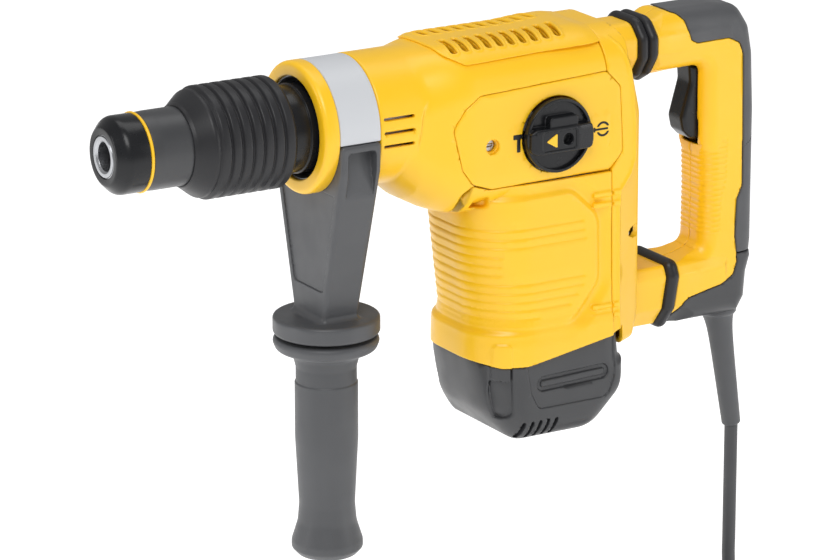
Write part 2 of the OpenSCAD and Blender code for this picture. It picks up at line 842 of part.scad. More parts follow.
module strain_relief() {
    run = relief_end - relief_top;
    tilt = atan2(run[0], -run[2]);
    color("#55575b") union() {
        rod_z(-171, -166.2, 13.6, 453.8);
        translate(relief_top) rotate([0, 180 - tilt, 0])
            cylinder(h = norm(run), r1 = 13.2, r2 = 6.8, $fn = fine);
    }
}

module power_cord() {
    color("#3c3d40") swept(cord_route, cord_d / 2, 10, [1, 0, 0]);
}

module cord_coil() {
    w = coil_columns * cord_d;
    color("#3c3d40") translate(coil_centre) rotate_extrude($fn = fine)
        translate([coil_r - w / 2, 0]) soft_rect(0, w, 0, coil_layers * cord_d, cord_d / 2);
}

plug_at = [361.5, -40, coil_top + 15.2];
module mains_plug() {
    color("#2e2f32") union() {
        translate(plug_at) rotate([-90, 0, 0]) cylinder(h = 34, r1 = 15, r2 = 18.5, $fn = fine);
        translate(plug_at - [0, 14, 0]) rotate([-90, 0, 0])
            cylinder(h = 14.5, r1 = 6, r2 = 12, $fn = fine);
        for (s = [-1, 1]) translate(plug_at + [s * 9.5, 33, 0]) rotate([-90, 0, 0])
            cylinder(h = 20, r = 2.4, $fn = fine);
    }
}

// ---- Side handle ----

module clamp_band() {
    color("#c9cbcd") translate([band_x0, 0, 0]) rotate([0, 90, 0]) rotate([0, 0, 86])
        rotate_extrude(angle = 188, $fn = fine)
            translate([barrel_r + 0.1, 0]) square([band_r - barrel_r - 0.1, band_w]);
}

saddle_outline = [[-42, -4.2], [-42, -20], [-34, -60], [-21, -118], [-19, -125], [19, -125],
    [21, -118], [34, -60], [42, -20], [42, -4.2]];
flange_top = -124;
flange_low = -137;
module handle_saddle() {
    color("#55575a") difference() {
        union() {
            along_x(band_x0, band_x1) polygon(saddle_outline);
            rod_z(flange_low, flange_top, flange_r, side_x);
        }
        rod_x(130, 180, barrel_r + 0.1);
        rod_z(flange_low - 1, -30, 4.1, side_x);
        block([side_x - 8, -8, -54], [side_x + 8, 8, -30]);
    }
}

module clamp_bolt() {
    color("#8d9093") union() {
        rod_z(-198, -44, 4, side_x);
        translate([side_x, 0, -44.1]) cylinder(h = 6, r = 7.2, $fn = 6);
    }
}

module side_grip() {
    foot = -side_reach;
    color("#4b4d50") turned_z([[4.1, flange_low - 1.5], [flange_r - 3, flange_low - 1.5],
        [flange_r - 1, flange_low - 3.5], [flange_r - 3, flange_low - 7], [22, -150], [19, -156],
        [19, -168], [19.8, -172], [19, -205], [17.2, foot + 34], [18, foot + 22], [21.5, foot + 10],
        [22, foot + 6], [19, foot + 1.5], [15, foot], [0, foot], [0, -206], [4.1, -206]], side_x);
}

tool_holder_tube();
nose_cap();
nose_ring();
lock_rollers();
front_sleeve();
lock_boot();
sleeve_spring();
impact_bolt();
nose_tube();
holder_bearing();
barrel_tube();
barrel_collar();
gear_housing();
vent_bonnet();
selector_panel();
mode_dial();
dial_pointer();
gear_case();
cylinder_tube();
ram();
ram_seal();
piston();
piston_seal();
piston_pin();
connecting_rod();
crank_gear();
ball_bearings();
motor_housing();
motor_cap();
stator_core();
field_coils();
armature_shaft();
armature_core();
commutator();
cooling_fan();
brush_holders();
carbon_brushes();
end_bracket();
electronics_module();
rear_housing();
housing_screws();
upper_bellows();
lower_bellows();
guide_pins();
handle_springs();
handle_left_shell();
handle_right_shell();
handle_screws();
handle_overmold();
cord_bracket();
switch_module();
trigger();
strain_relief();
power_cord();
cord_coil();
mains_plug();
clamp_band();
handle_saddle();
clamp_bolt();
side_grip();
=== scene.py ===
"""Looks of the demolition hammer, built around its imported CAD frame.

Shapes are worked out in millimetres, as the frame's own design is, and become metres when a mesh
is made. Turned pieces are lathed outlines. Moulded pieces are signed distance fields, which give
every edge and inside corner its own radius.
"""

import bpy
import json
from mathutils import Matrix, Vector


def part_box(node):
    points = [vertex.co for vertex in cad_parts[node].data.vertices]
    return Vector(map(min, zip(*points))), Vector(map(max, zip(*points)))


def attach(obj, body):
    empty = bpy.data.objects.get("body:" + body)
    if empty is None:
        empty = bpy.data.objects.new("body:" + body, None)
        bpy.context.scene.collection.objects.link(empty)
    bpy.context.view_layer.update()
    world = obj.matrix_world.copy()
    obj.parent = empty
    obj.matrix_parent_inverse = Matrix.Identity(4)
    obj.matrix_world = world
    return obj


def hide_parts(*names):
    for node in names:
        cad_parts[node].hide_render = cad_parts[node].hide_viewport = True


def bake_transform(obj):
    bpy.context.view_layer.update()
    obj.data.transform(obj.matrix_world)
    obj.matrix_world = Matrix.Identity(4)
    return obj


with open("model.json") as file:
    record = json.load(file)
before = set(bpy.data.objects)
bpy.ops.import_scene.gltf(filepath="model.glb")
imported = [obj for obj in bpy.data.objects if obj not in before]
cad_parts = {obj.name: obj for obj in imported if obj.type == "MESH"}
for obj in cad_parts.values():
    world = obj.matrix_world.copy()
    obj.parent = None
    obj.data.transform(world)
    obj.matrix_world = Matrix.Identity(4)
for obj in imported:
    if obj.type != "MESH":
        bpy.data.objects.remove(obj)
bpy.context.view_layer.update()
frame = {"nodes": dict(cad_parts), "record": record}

import json
import math

import bmesh
import bpy
import numpy as np
import openvdb
from mathutils import Vector

MM = 0.001
FINE = 0.85

# ---- Camera, floor and light ----


def make_camera():
    data = bpy.data.cameras.new("camera")
    data.sensor_width = 36
    data.lens = 200
    data.clip_start, data.clip_end = 0.05, 60
    camera = bpy.data.objects.new("camera", data)
    camera.location = (-1.2355, -2.4288, 0.7535)
    camera.rotation_euler = (math.radians(73), 0, math.radians(-31))
    bpy.context.scene.collection.objects.link(camera)
    bpy.context.scene.camera = camera


def make_light(name, kind, power, size, place, target, colour=(1, 1, 1)):
    data = bpy.data.lights.new(name, kind)
    data.energy = power
    data.color = colour
    data.shape = "RECTANGLE"
    data.size, data.size_y = size
    light = bpy.data.objects.new(name, data)
    light.location = place
    aim = Vector(target) - Vector(place)
    light.rotation_euler = aim.to_track_quat("-Z", "Y").to_euler()
    bpy.context.scene.collection.objects.link(light)


def make_world(strength):
    world = bpy.data.worlds.new("studio")
    world.use_nodes = True
    background = world.node_tree.nodes["Background"]
    background.inputs["Color"].default_value = (1, 1, 1, 1)
    background.inputs["Strength"].default_value = strength
    bpy.context.scene.world = world


make_camera()
make_world(0.37)
middle = (0.26, 0, -0.08)
make_light("key", "AREA", 38, (1.3, 1.3), (-0.9, -1.5, 2.1), middle)
make_light("top", "AREA", 15, (2.2, 1.2), (0.5, 0.5, 2.2), middle)
make_light("rim", "AREA", 10, (0.5, 1.8), (-1.9, 0.5, 0.2), middle)
make_light("side", "AREA", 9, (0.5, 1.6), (1.9, -1.7, 0.3), middle)
bpy.context.scene.view_settings.view_transform = "Standard"

# ---- Materials ----


def new_material(name, colour, roughness, metallic=0.0, specular=0.5, coat=0.0):
    material = bpy.data.materials.new(name)
    material.use_nodes = True
    shader = material.node_tree.nodes["Principled BSDF"]
    shader.inputs["Base Color"].default_value = (*colour, 1)
    shader.inputs["Roughness"].default_value = roughness
    shader.inputs["Metallic"].default_value = metallic
    shader.inputs["Specular IOR Level"].default_value = specular
    shader.inputs["Coat Weight"].default_value = coat
    return material, shader


def noise(material, scale, detail=3.0, stretch=(1, 1, 1)):
    nodes, links = material.node_tree.nodes, material.node_tree.links
    place = nodes.new("ShaderNodeTexCoord")
    mapping = nodes.new("ShaderNodeMapping")
    mapping.inputs["Scale"].default_value = stretch
    texture = nodes.new("ShaderNodeTexNoise")
    texture.inputs["Scale"].default_value = scale
    texture.inputs["Detail"].default_value = detail
    links.new(place.outputs["Object"], mapping.inputs["Vector"])
    links.new(mapping.outputs["Vector"], texture.inputs["Vector"])
    return texture.outputs["Fac"]


def ranged(material, value, low, high, start=0.3, end=0.7):
    nodes, links = material.node_tree.nodes, material.node_tree.links
    node = nodes.new("ShaderNodeMapRange")
    node.inputs["From Min"].default_value = start
    node.inputs["From Max"].default_value = end
    node.inputs["To Min"].default_value = low
    node.inputs["To Max"].default_value = high
    links.new(value, node.inputs["Value"])
    return node.outputs["Result"]


def tinted(material, shader, value, dark, light):
    nodes, links = material.node_tree.nodes, material.node_tree.links
    ramp = nodes.new("ShaderNodeValToRGB")
    ramp.color_ramp.elements[0].position = 0.3
    ramp.color_ramp.elements[1].position = 0.7
    ramp.color_ramp.elements[0].color = (*dark, 1)
    ramp.color_ramp.elements[1].color = (*light, 1)
    links.new(value, ramp.inputs["Fac"])
    links.new(ramp.outputs["Color"], shader.inputs["Base Color"])


def bumped(material, shader, value, depth, strength=0.5):
    nodes, links = material.node_tree.nodes, material.node_tree.links
    bump = nodes.new("ShaderNodeBump")
    bump.inputs["Strength"].default_value = strength
    bump.inputs["Distance"].default_value = depth
    links.new(value, bump.inputs["Height"])
    links.new(bump.outputs["Normal"], shader.inputs["Normal"])


def moulded(name, colour, roughness, grain=1800, depth=0.00006, vary=0.06, coat=0.0,
            specular=0.5, sheen=0.0):
    """Moulded plastic or rubber: fine spark grain, uneven gloss and a little flow colour."""
    material, shader = new_material(name, colour, roughness, coat=coat, specular=specular)
    shader.inputs["Coat Roughness"].default_value = 0.25
    shader.inputs["Sheen Weight"].default_value = sheen
    dark = [c * (1 - vary) for c in colour]
    light = [min(1, c * (1 + vary)) for c in colour]
    tinted(material, shader, noise(material, 14, 4), dark, light)
    gloss = ranged(material, noise(material, 60, 5), roughness - 0.05, roughness + 0.07)
    material.node_tree.links.new(gloss, shader.inputs["Roughness"])
    bumped(material, shader, noise(material, grain, 2), depth)
    return material


def metal(name, colour, roughness, stretch=(1, 1, 1), scale=400):
    """Machined or cast metal: stretched tool marks and a slightly uneven tone."""
    material, shader = new_material(name, colour, roughness, metallic=1.0)
    marks = noise(material, scale, 4, stretch)
    tinted(material, shader, noise(material, 40, 4), [c * 0.86 for c in colour], colour)
    gloss = ranged(material, marks, roughness - 0.08, roughness + 0.12)
    material.node_tree.links.new(gloss, shader.inputs["Roughness"])
    bumped(material, shader, marks, 0.00004, 0.35)
    return material


def laminated(name, colour):
    """A stack of thin sheets along Z: fine lines of light and shade."""
    material, shader = new_material(name, colour, 0.42, metallic=0.9)
    nodes, links = material.node_tree.nodes, material.node_tree.links
    place = nodes.new("ShaderNodeTexCoord")
    wave = nodes.new("ShaderNodeTexWave")
    wave.bands_direction = "Z"
    wave.inputs["Scale"].default_value = 300
    wave.inputs["Distortion"].default_value = 0.2
    links.new(place.outputs["Object"], wave.inputs["Vector"])
    tinted(material, shader, wave.outputs["Fac"], [c * 0.5 for c in colour], colour)
    bumped(material, shader, wave.outputs["Fac"], 0.0001, 0.5)
    return material


materials = {
    "yellow_shell": moulded("yellow_shell", (0.93, 0.535, 0.008), 0.36, vary=0.02, coat=0.12),
    "black_plastic": moulded("black_plastic", (0.009, 0.0095, 0.011), 0.24, depth=0.00003,
                             vary=0.1, specular=0.3),
    "dark_plastic": moulded("dark_plastic", (0.04, 0.041, 0.044), 0.38, vary=0.06),
    "grey_plastic": moulded("grey_plastic", (0.07, 0.072, 0.077), 0.44, vary=0.05),
    "rubber_boot": moulded("rubber_boot", (0.016, 0.016, 0.018), 0.4, grain=1200,
                           depth=0.00008, specular=0.35),
    "grip_rubber": moulded("grip_rubber", (0.066, 0.068, 0.073), 0.5, grain=1100,
                           depth=0.0001, sheen=0.1),
    "light_band": moulded("light_band", (0.56, 0.575, 0.6), 0.36, grain=2400, depth=0.00003,
                          vary=0.02),
    "steel": metal("steel", (0.5, 0.51, 0.53), 0.32, (1, 6, 6)),
    "aluminium": metal("aluminium", (0.66, 0.67, 0.68), 0.48, scale=220),
    "lamination": laminated("lamination", (0.42, 0.43, 0.45)),
    "copper": metal("copper", (0.72, 0.28, 0.1), 0.3, (1, 1, 30)),
    "brass": metal("brass", (0.72, 0.52, 0.2), 0.34, (1, 8, 8)),
    "carbon": moulded("carbon", (0.03, 0.03, 0.032), 0.55, grain=900, depth=0.0001),
    "seal": moulded("seal", (0.015, 0.015, 0.015), 0.5),
    "cord_rubber": moulded("cord_rubber", (0.05, 0.051, 0.055), 0.45, grain=900, depth=0.00008),
}

# ---- Pieces and meshes ----


def finish(piece, body, slot, nodes=()):
    """Gives a piece the material of its slot, and puts it on its body in place of CAD nodes.
    A piece given no body is left unattached here."""
    piece.data.materials.clear()
    piece.data.materials.append(materials[slot])
    bpy.context.scene.collection.objects.link(piece)
    if body:
        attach(piece, body)
    if nodes:
        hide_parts(*nodes)
    return piece


def new_mesh(name, points, faces, smooth_angle=40):
    mesh = bpy.data.meshes.new(name)
    mesh.from_pydata([tuple(p * MM for p in point) for point in points], [], faces)
    mesh.validate()
    for polygon in mesh.polygons:
        polygon.use_smooth = True
    mesh.set_sharp_from_angle(angle=math.radians(smooth_angle))
    return bpy.data.objects.new(name, mesh)


def rounded(points, steps=6):
    """Closed outline whose corners, each (u, v, radius), are arcs."""
    loop = []
    for i, (u, v, radius) in enumerate(points):
        corner = np.array((u, v), float)
        before = np.array(points[i - 1][:2], float) - corner
        after = np.array(points[(i + 1) % len(points)][:2], float) - corner
        length_before, length_after = np.linalg.norm(before), np.linalg.norm(after)
        before, after = before / length_before, after / length_after
        half = math.acos(float(np.clip(before @ after, -1, 1))) / 2
        if radius == 0 or half > math.radians(89):
            loop.append((u, v))
            continue
        reach = min(radius / math.tan(half), 0.49 * length_before, 0.49 * length_after)
        middle_way = (before + after) / np.linalg.norm(before + after)
        centre = corner + middle_way * reach / math.cos(half)
        first, last = corner + before * reach - centre, corner + after * reach - centre
        turn = math.pi - 2 * half
        for k in range(steps + 1):
            w = k / steps
            arm = (math.sin((1 - w) * turn) * first + math.sin(w * turn) * last) / math.sin(turn)
            loop.append(tuple(centre + arm))
    return loop


def turned(name, profile, body, slot, nodes=(), place=(0, 0), along="x", segments=128):
    """Lathed piece. Each point is (radius, height, corner radius). The axis of turning goes
    along x, y or z, through place in the other two directions."""
    segments = segments
    loop = rounded(profile)
    points, faces = [], []
    for s in range(segments):
        a = 2 * math.pi * s / segments
        for r, h in loop:
            u, v = place[0] + r * math.cos(a), place[1] + r * math.sin(a)
            points.append({"x": (h, u, v), "y": (u, h, v), "z": (u, v, h)}[along])
    n = len(loop)
    for s in range(segments):
        t = (s + 1) % segments
        for k in range(n):
            m = (k + 1) % n
            faces.append((s * n + k, s * n + m, t * n + m, t * n + k))
    piece = new_mesh(name, points, faces)
    tidy_mesh(piece)
    return finish(piece, body, slot, nodes)


def tidy_mesh(piece):
    """Merges points that meet and turns every face outwards."""
    work = bmesh.new()
    work.from_mesh(piece.data)
    bmesh.ops.remove_doubles(work, verts=work.verts, dist=1e-7)
    bmesh.ops.dissolve_degenerate(work, edges=work.edges, dist=1e-7)
    bmesh.ops.recalc_face_normals(work, faces=work.faces)
    work.to_mesh(piece.data)
    work.free()


# ---- Signed distance fields, in millimetres ----


def length(*parts):
    return np.sqrt(sum(part * part for part in parts))


def both(a, b, r=0.0):
    """Where a and b overlap, with the edge between them rounded by r."""
    if r == 0:
        return np.maximum(a, b)
    return np.minimum(-r, np.maximum(a, b)) + length(np.maximum(r + a, 0), np.maximum(r + b, 0))


def join(a, b, r=0.0):
    """a and b together, with the inside corner between them filled by radius r."""
    if r == 0:
        return np.minimum(a, b)
    return np.maximum(r, np.minimum(a, b)) - length(np.maximum(r - a, 0), np.maximum(r - b, 0))


def cut(a, b, r=0.0):
    return both(a, -b, r)


def slab(v, low, high):
    return np.abs(v - (low + high) / 2) - (high - low) / 2


def rod(u, v, centre_u, centre_v, radius):
    return length(u - centre_u, v - centre_v) - radius


def soft_rect(u, v, u0, u1, v0, v1, r):
    du = np.abs(u - (u0 + u1) / 2) - (u1 - u0) / 2 + r
    dv = np.abs(v - (v0 + v1) / 2) - (v1 - v0) / 2 + r
    return length(np.maximum(du, 0), np.maximum(dv, 0)) + np.minimum(np.maximum(du, dv), 0) - r


def capsule(u, v, start, end, radius):
    du, dv = end[0] - start[0], end[1] - start[1]
    t = np.clip(((u - start[0]) * du + (v - start[1]) * dv) / (du * du + dv * dv), 0, 1)
    return length(u - start[0] - t * du, v - start[1] - t * dv) - radius


outline_loops = {}


def outline(u, v, points):
    """Distance to a closed outline with rounded corners."""
    key = tuple(points)
    if key not in outline_loops:
        outline_loops[key] = rounded(points, 4)
    loop = outline_loops[key]
    best, inside = None, False
    for (au, av), (bu, bv) in zip(loop, loop[1:] + loop[:1]):
        eu, ev = bu - au, bv - av
        if eu == 0 and ev == 0:
            continue
        t = np.clip(((u - au) * eu + (v - av) * ev) / (eu * eu + ev * ev), 0, 1)
        away = (u - au - t * eu) ** 2 + (v - av - t * ev) ** 2
        best = away if best is None else np.minimum(best, away)
        if ev != 0:
            inside = inside ^ (((av > v) != (bv > v)) & (u < eu * (v - av) / ev + au))
    return np.where(inside, -1, 1) * np.sqrt(best)


def smooth(value, start, end):
    t = np.clip((value - start) / (end - start), 0, 1)
    return t * t * (3 - 2 * t)


def gradient(field, points, reach=0.12):
    result = []
    for axis in range(3):
        ahead, behind = points.copy(), points.copy()
        ahead[:, axis] += reach
        behind[:, axis] -= reach
        result.append(field(*ahead.T) - field(*behind.T))
    return np.stack(result, axis=1) / (2 * reach)


def mesh_of(name, field, low, high, step):
    """Mesh of the surface where the field is zero, its points moved onto that surface."""
    axes = [np.arange(a, b + step, step, dtype=np.float32) for a, b in zip(low, high)]
    x, y, z = axes[0][:, None, None], axes[1][None, :, None], axes[2][None, None, :]
    shape = tuple(len(axis) for axis in axes)
    distance = np.broadcast_to(field(x, y, z), shape).astype(np.float32)
    grid = openvdb.FloatGrid(background=3 * step)
    grid.copyFromArray(np.clip(distance, -3 * step, 3 * step))
    points, triangles, quads = grid.convertToPolygons(isovalue=0.0, adaptivity=0.02)
    points = points.astype(np.float64) * step + np.array(low, float)
    for _ in range(2):
        slope = gradient(field, points)
        value = field(*points.T)
        move = value[:, None] * slope / np.maximum((slope**2).sum(1), 0.2)[:, None]
        points -= np.clip(move, -step, step)
    normals = gradient(field, points)
    normals /= np.maximum(np.linalg.norm(normals, axis=1), 1e-6)[:, None]
    mesh = bpy.data.meshes.new(name)
    corners = np.concatenate([quads.ravel(), triangles.ravel()]).astype(np.int32)
    sides = np.cross(points[quads[:, 1]] - points[quads[:, 0]],
                     points[quads[:, 2]] - points[quads[:, 1]])
    if (sides * normals[quads[:, 0]]).sum() < 0:
        corners = np.concatenate([quads[:, ::-1].ravel(), triangles[:, ::-1].ravel()])
    starts = np.concatenate([np.arange(len(quads)) * 4,
                             len(quads) * 4 + np.arange(len(triangles)) * 3])
    mesh.vertices.add(len(points))
    mesh.vertices.foreach_set("co", (points * MM).astype(np.float32).ravel())
    mesh.loops.add(len(corners))
    mesh.loops.foreach_set("vertex_index", corners.astype(np.int32))
    mesh.polygons.add(len(starts))
    mesh.polygons.foreach_set("loop_start", starts.astype(np.int32))
    mesh.update(calc_edges=True)
    mesh.validate()
    mesh.shade_smooth()
    mesh.normals_split_custom_set_from_vertices(normals.tolist())
    return bpy.data.objects.new(name, mesh)


def moulding(name, field, low, high, body, slot, nodes=(), step=1.0):
    """Piece whose surface is a field's zero, inside the box from low to high."""
    piece = mesh_of(name, field, low, high, step * FINE)
    return finish(piece, body, slot, nodes)


# ---- Frame sizes, in millimetres ----


def span(node):
    return [[v / MM for v in corner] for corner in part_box(node)]


HALF_W = span("gear_housing")[1][1]
BAND_X0, BAND_X1 = span("clamp_band")[0][0], span("clamp_band")[1][0]
SIDE_X = (BAND_X0 + BAND_X1) / 2 - 1
HANDLE_FRONT = span("handle_left_shell")[0][0]
FLOOR_Z = span("cord_coil")[0][2]

# ---- Floor ----


def make_floor():
    size, low = 20.0, FLOOR_Z * MM - 0.0016
    mesh = bpy.data.meshes.new("floor")
    mesh.from_pydata([(-size, -size, low), (size, -size, low), (size, size, low),
                      (-size, size, low)], [], [(0, 1, 2, 3)])
    floor = bpy.data.objects.new("floor", mesh)
    material, shader = new_material("floor", (0.9, 0.9, 0.9), 0.6)
    shader.inputs["Emission Color"].default_value = (1, 1, 1, 1)
    shader.inputs["Emission Strength"].default_value = 0.6
    tinted(material, shader, noise(material, 3), (0.89, 0.89, 0.89), (0.91, 0.91, 0.91))
    mesh.materials.append(material)
    bpy.context.scene.collection.objects.link(floor)


make_floor()

# ---- Cord, its coil, tie and plug ----

CORD_D = 9.0
COIL_X, COIL_Y, COIL_R = 414.2, -40.0, 52.5
PLUG_X, PLUG_Z = 361.5, FLOOR_Z + 4 * CORD_D + 15.2
hanging_run = [
    (466.7, 0, -250.5), (466.7, 0, -270), (466.7, 0, -290), (466.7, 0, -310), (466.7, 0, -330),
    (466.7, 0, -345), (466.7, -2, -358), (466.7, -8, -370), (466.7, -17, -380), (466.7, -28, -386),
    (466.7, -40, -388.5)]
# Where each turn of the coil lies: its column from the inside and its layer from the floor
coil_cells = [(1, 3), (0, 3), (0, 2), (0, 1), (0, 0), (1, 0), (2, 0), (2, 1), (1, 1), (1, 2),
              (2, 2), (2, 3)]


def eased(points, steps=4):
    """Catmull-Rom curve through points."""
    points = np.array(points, float)
    ends = np.vstack([2 * points[0] - points[1], points, 2 * points[-1] - points[-2]])
    route = []
    for i in range(len(points) - 1):
        a, b, c, d = ends[i:i + 4]
        for t in np.arange(steps) / steps:
            route.append(b + 0.5 * t * (c - a + t * (2 * a - 5 * b + 4 * c - d
                                                     + t * (3 * (b - c) + d - a))))
    return route + [points[-1]]


def coil_place(cell):
    return COIL_R + (cell[0] - 1) * CORD_D, FLOOR_Z + (cell[1] + 0.5) * CORD_D


def cord_route():
    route = [tuple(p) for p in eased(hanging_run)]
    per_turn = 40
    shift_share = 0.34
    for cell, following in zip(coil_cells, coil_cells[1:]):
        (r0, z0), (r1, z1) = coil_place(cell), coil_place(following)
        for k in range(1, per_turn + 1):
            t = k / per_turn
            w = 0.5 - 0.5 * math.cos(math.pi * max(0, (t - 1 + shift_share) / shift_share))
            r, z = r0 + (r1 - r0) * w, z0 + (z1 - z0) * w
            a = -2 * math.pi * t
            route.append((COIL_X + r * math.cos(a), COIL_Y + r * math.sin(a), z))
    # The last half turn climbs on top of the coil and goes into the plug
    last_r, last_z = coil_place(coil_cells[-1])
    for k in range(1, 21):
        t = k / 20
        w = 0.5 - 0.5 * math.cos(math.pi * t)
        r, a = last_r + (COIL_X - PLUG_X - last_r) * w, -math.pi * t
        route.append((COIL_X + r * math.cos(a), COIL_Y - 18 * w + r * math.sin(a),
                      last_z + (PLUG_Z - last_z) * w))
    route.append((PLUG_X, COIL_Y - 12, PLUG_Z))
    return route


def make_cord():
    route = cord_route()
    curve = bpy.data.curves.new("power_cord_sheath", "CURVE")
    curve.dimensions = "3D"
    curve.bevel_depth = CORD_D / 2 * MM
    curve.bevel_resolution = 5
    curve.use_fill_caps = True
    spline = curve.splines.new("POLY")
    spline.points.add(len(route) - 1)
    for point, place in zip(spline.points, route):
        point.co = (*(v * MM for v in place), 1)
    spline.use_smooth = True
    piece = bpy.data.objects.new("power_cord_sheath", curve)
    return finish(piece, "rear_handle", "cord_rubber", ["power_cord", "cord_coil"])


def make_plug():
    front, back = COIL_Y + 34, COIL_Y
    profile = [(0, back - 14.5, 0), (6, back - 14.5, 1), (6.6, back - 11, 0.4),
               (8.4, back - 10.4, 0.6), (8.6, back - 8.4, 0.6), (7.6, back - 7.8, 0.4),
               (7.8, back - 6, 0.4), (10, back - 5.4, 0.6), (10.3, back - 3.2, 0.6),
               (9.2, back - 2.6, 0.4), (9.6, back - 1, 1), (15, back + 1, 3),
               (14.4, back + 10, 6), (18.5, back + 24, 5), (18.5, front, 1.2), (0, front, 0)]
    plug = turned("mains_plug_moulding", profile, "rear_handle", "dark_plastic",
                  ["mains_plug"], place=(PLUG_X, PLUG_Z), along="y")
    pins = []
    for side in (-1, 1):
        profile = [(0, front - 1, 0), (2.4, front - 1, 0), (2.4, front + 19, 1.2),
                   (0, front + 19, 0)]
        pins.append(turned(f"plug_pin_{'left' if side < 0 else 'right'}", profile, "rear_handle",
                           "brass", place=(PLUG_X + side * 9.5, PLUG_Z), along="y", segments=32))
    return [plug, *pins]


def make_tie():
    """Flat strap round the coil's bundle of turns, at the back of the coil."""
    half_width, thick = 7.0, 1.2
    r0, r1 = COIL_R - 1.5 * CORD_D - 0.4, COIL_R + 1.5 * CORD_D + 0.4
    z0, z1 = FLOOR_Z - 0.2, FLOOR_Z + 4 * CORD_D + 0.4
    inner = rounded([(r0, z0, 4), (r1, z0, 4), (r1, z1, 4), (r0, z1, 4)])
    outer = rounded([(r0 - thick, z0 - thick, 5), (r1 + thick, z0 - thick, 5),
                     (r1 + thick, z1 + thick, 5), (r0 - thick, z1 + thick, 5)])
    points, faces, n = [], [], len(inner)
    for loop in (inner, outer):
        for t in (-half_width, half_width):
            points += [(COIL_X + t, COIL_Y + r, z) for r, z in loop]
    for k in range(n):
        m = (k + 1) % n
        for a, b in ((0, 1), (3, 2), (2, 0), (1, 3)):
            faces.append((a * n + k, a * n + m, b * n + m, b * n + k))
    piece = new_mesh("coil_tie", points, faces)
    tidy_mesh(piece)
    return finish(piece, "rear_handle", "rubber_boot")


cord = make_cord()
with_cord = [*make_plug(), make_tie()]

# ---- Nose, locking sleeve and barrel front ----

turned("nose_cap_moulding", [(13.6, 0.5, 0.4), (18, 0.2, 2.5), (24.5, 6.5, 7), (24.5, 20.9, 0.6),
                             (15.6, 20.9, 0), (15.6, 9.9, 0), (13.6, 9.9, 0)],
       "tool_holder", "black_plastic", ["nose_cap"])
turned("nose_ring_moulding", [(15.6, 21, 0), (24.7, 21, 0.5), (25.4, 22, 0.6), (24.7, 23, 0.5),
                              (15.6, 23, 0)], "tool_holder", "yellow_shell", ["nose_ring"])
turned("front_sleeve_moulding", [(15.6, 23.3, 0), (24.2, 23.3, 0.8), (24.6, 30, 2),
                                 (24.6, 88, 0.5), (20.5, 88, 0),
                                 (20.5, 34, 0), (15.6, 34, 0)],
       "locking_sleeve", "dark_plastic", ["front_sleeve"])


def lock_boot():
    top, groove, pitch, first = 35.4, 33.3, 7.4, 64.5
    profile = [(24.65, 50, 0), (25.6, 49.8, 0.6), (26.8, 52, 3), (34, 61.2, 4)]
    for i in range(7):
        x = first + pitch * i
        profile += [(groove, x - 0.5, 0.5), (top, x + 0.9, 1.2), (top, x + pitch - 2.0, 1.6)]
    profile += [(34.2, 116, 1.5), (32.5, 117.2, 1.2), (29, 117.2, 0), (29, 90, 0),
                (24.65, 90, 0)]
    turned("lock_boot_moulding", profile, "locking_sleeve", "rubber_boot", ["lock_boot"],
           segments=160)


lock_boot()
turned("nose_tube_moulding", [(24, 112, 0), (26.6, 112, 0.8), (27.5, 113.2, 0.8),
                              (27.5, 129.5, 0.4), (28.4, 130.2, 0.6), (28.4, 150, 0),
                              (31.9, 150, 0), (31.9, 160, 0), (24, 160, 0)],
       "housing", "black_plastic", ["nose_tube"])
turned("barrel_collar_moulding", [(32.5, 132, 1.4), (41.9, 132, 3.6), (41.9, BAND_X0 - 0.3, 0.5),
                                  (36.1, BAND_X0 - 0.3, 0), (36.1, 134.9, 0), (32.5, 134.9, 0.4)],
       "housing", "yellow_shell", ["barrel_collar"])

# ---- Side handle ----

HORN_Z = -4.0


def band_field(x, y, z):
    ring = cut(rod(y, z, 0, 0, 41.9), rod(y, z, 0, 0, 36.1))
    ring = both(ring, slab(x, BAND_X0, BAND_X1), 0.6)
    corners = outline(x, z, [(BAND_X0 - 4, 60, 0), (BAND_X1 + 4, 60, 0), (BAND_X1 + 4, HORN_Z, 0),
                             (BAND_X1, HORN_Z, 3), (BAND_X0, HORN_Z, 3), (BAND_X0 - 4, HORN_Z, 0)])
    return both(ring, corners, 0.5)


moulding("clamp_band_sheet", band_field, (140, -43, -6), (173, 43, 43), "side_handle",
         "light_band", ["clamp_band"], step=0.8)

FLANGE_TOP, FLANGE_LOW = -124.0, -137.0


def saddle_field(x, y, z):
    side = outline(y, z, [(-43.4, HORN_Z - 0.6, 2), (-43.4, -22, 14), (-34.3, -60, 20),
                          (-20, -118, 0), (-18.5, -127, 0), (18.5, -127, 0), (20, -118, 0),
                          (34.3, -60, 20), (43.4, -22, 14), (43.4, HORN_Z - 0.6, 2)])
    back = BAND_X1 + 0.2 - 3.4 * np.clip(-z / 120, 0, 1)
    body = both(side, np.maximum(BAND_X0 - 0.2 - x, x - back), 2.6)
    inset = both(side + 5.5, slab(z, -104, -38), 3)
    front = both(inset, BAND_X0 - 3 - x, 0)
    body = cut(body, both(front, x - (BAND_X0 + 0.9)), 0.5)
    glossy = both(soft_rect(x, z, BAND_X0 + 5, BAND_X1 - 4, -46, HORN_Z - 5, 2.5),
                  36.5 - np.abs(y) - 0.14 * (z + 20))
    body = cut(body, glossy, 0.5)
    bore = rod(y, z, 0, 0, 36.1)
    body = cut(body, bore, 0.8)
    disc = both(rod(x, y, SIDE_X - 0.3, 0, 34), slab(z, FLANGE_LOW + 1.5, FLANGE_TOP), 2.2)
    return join(body, disc, 4)


moulding("handle_saddle_moulding", saddle_field, (118, -48, -142), (192, 48, 2), "side_handle",
         "grey_plastic", ["handle_saddle"], step=0.9)


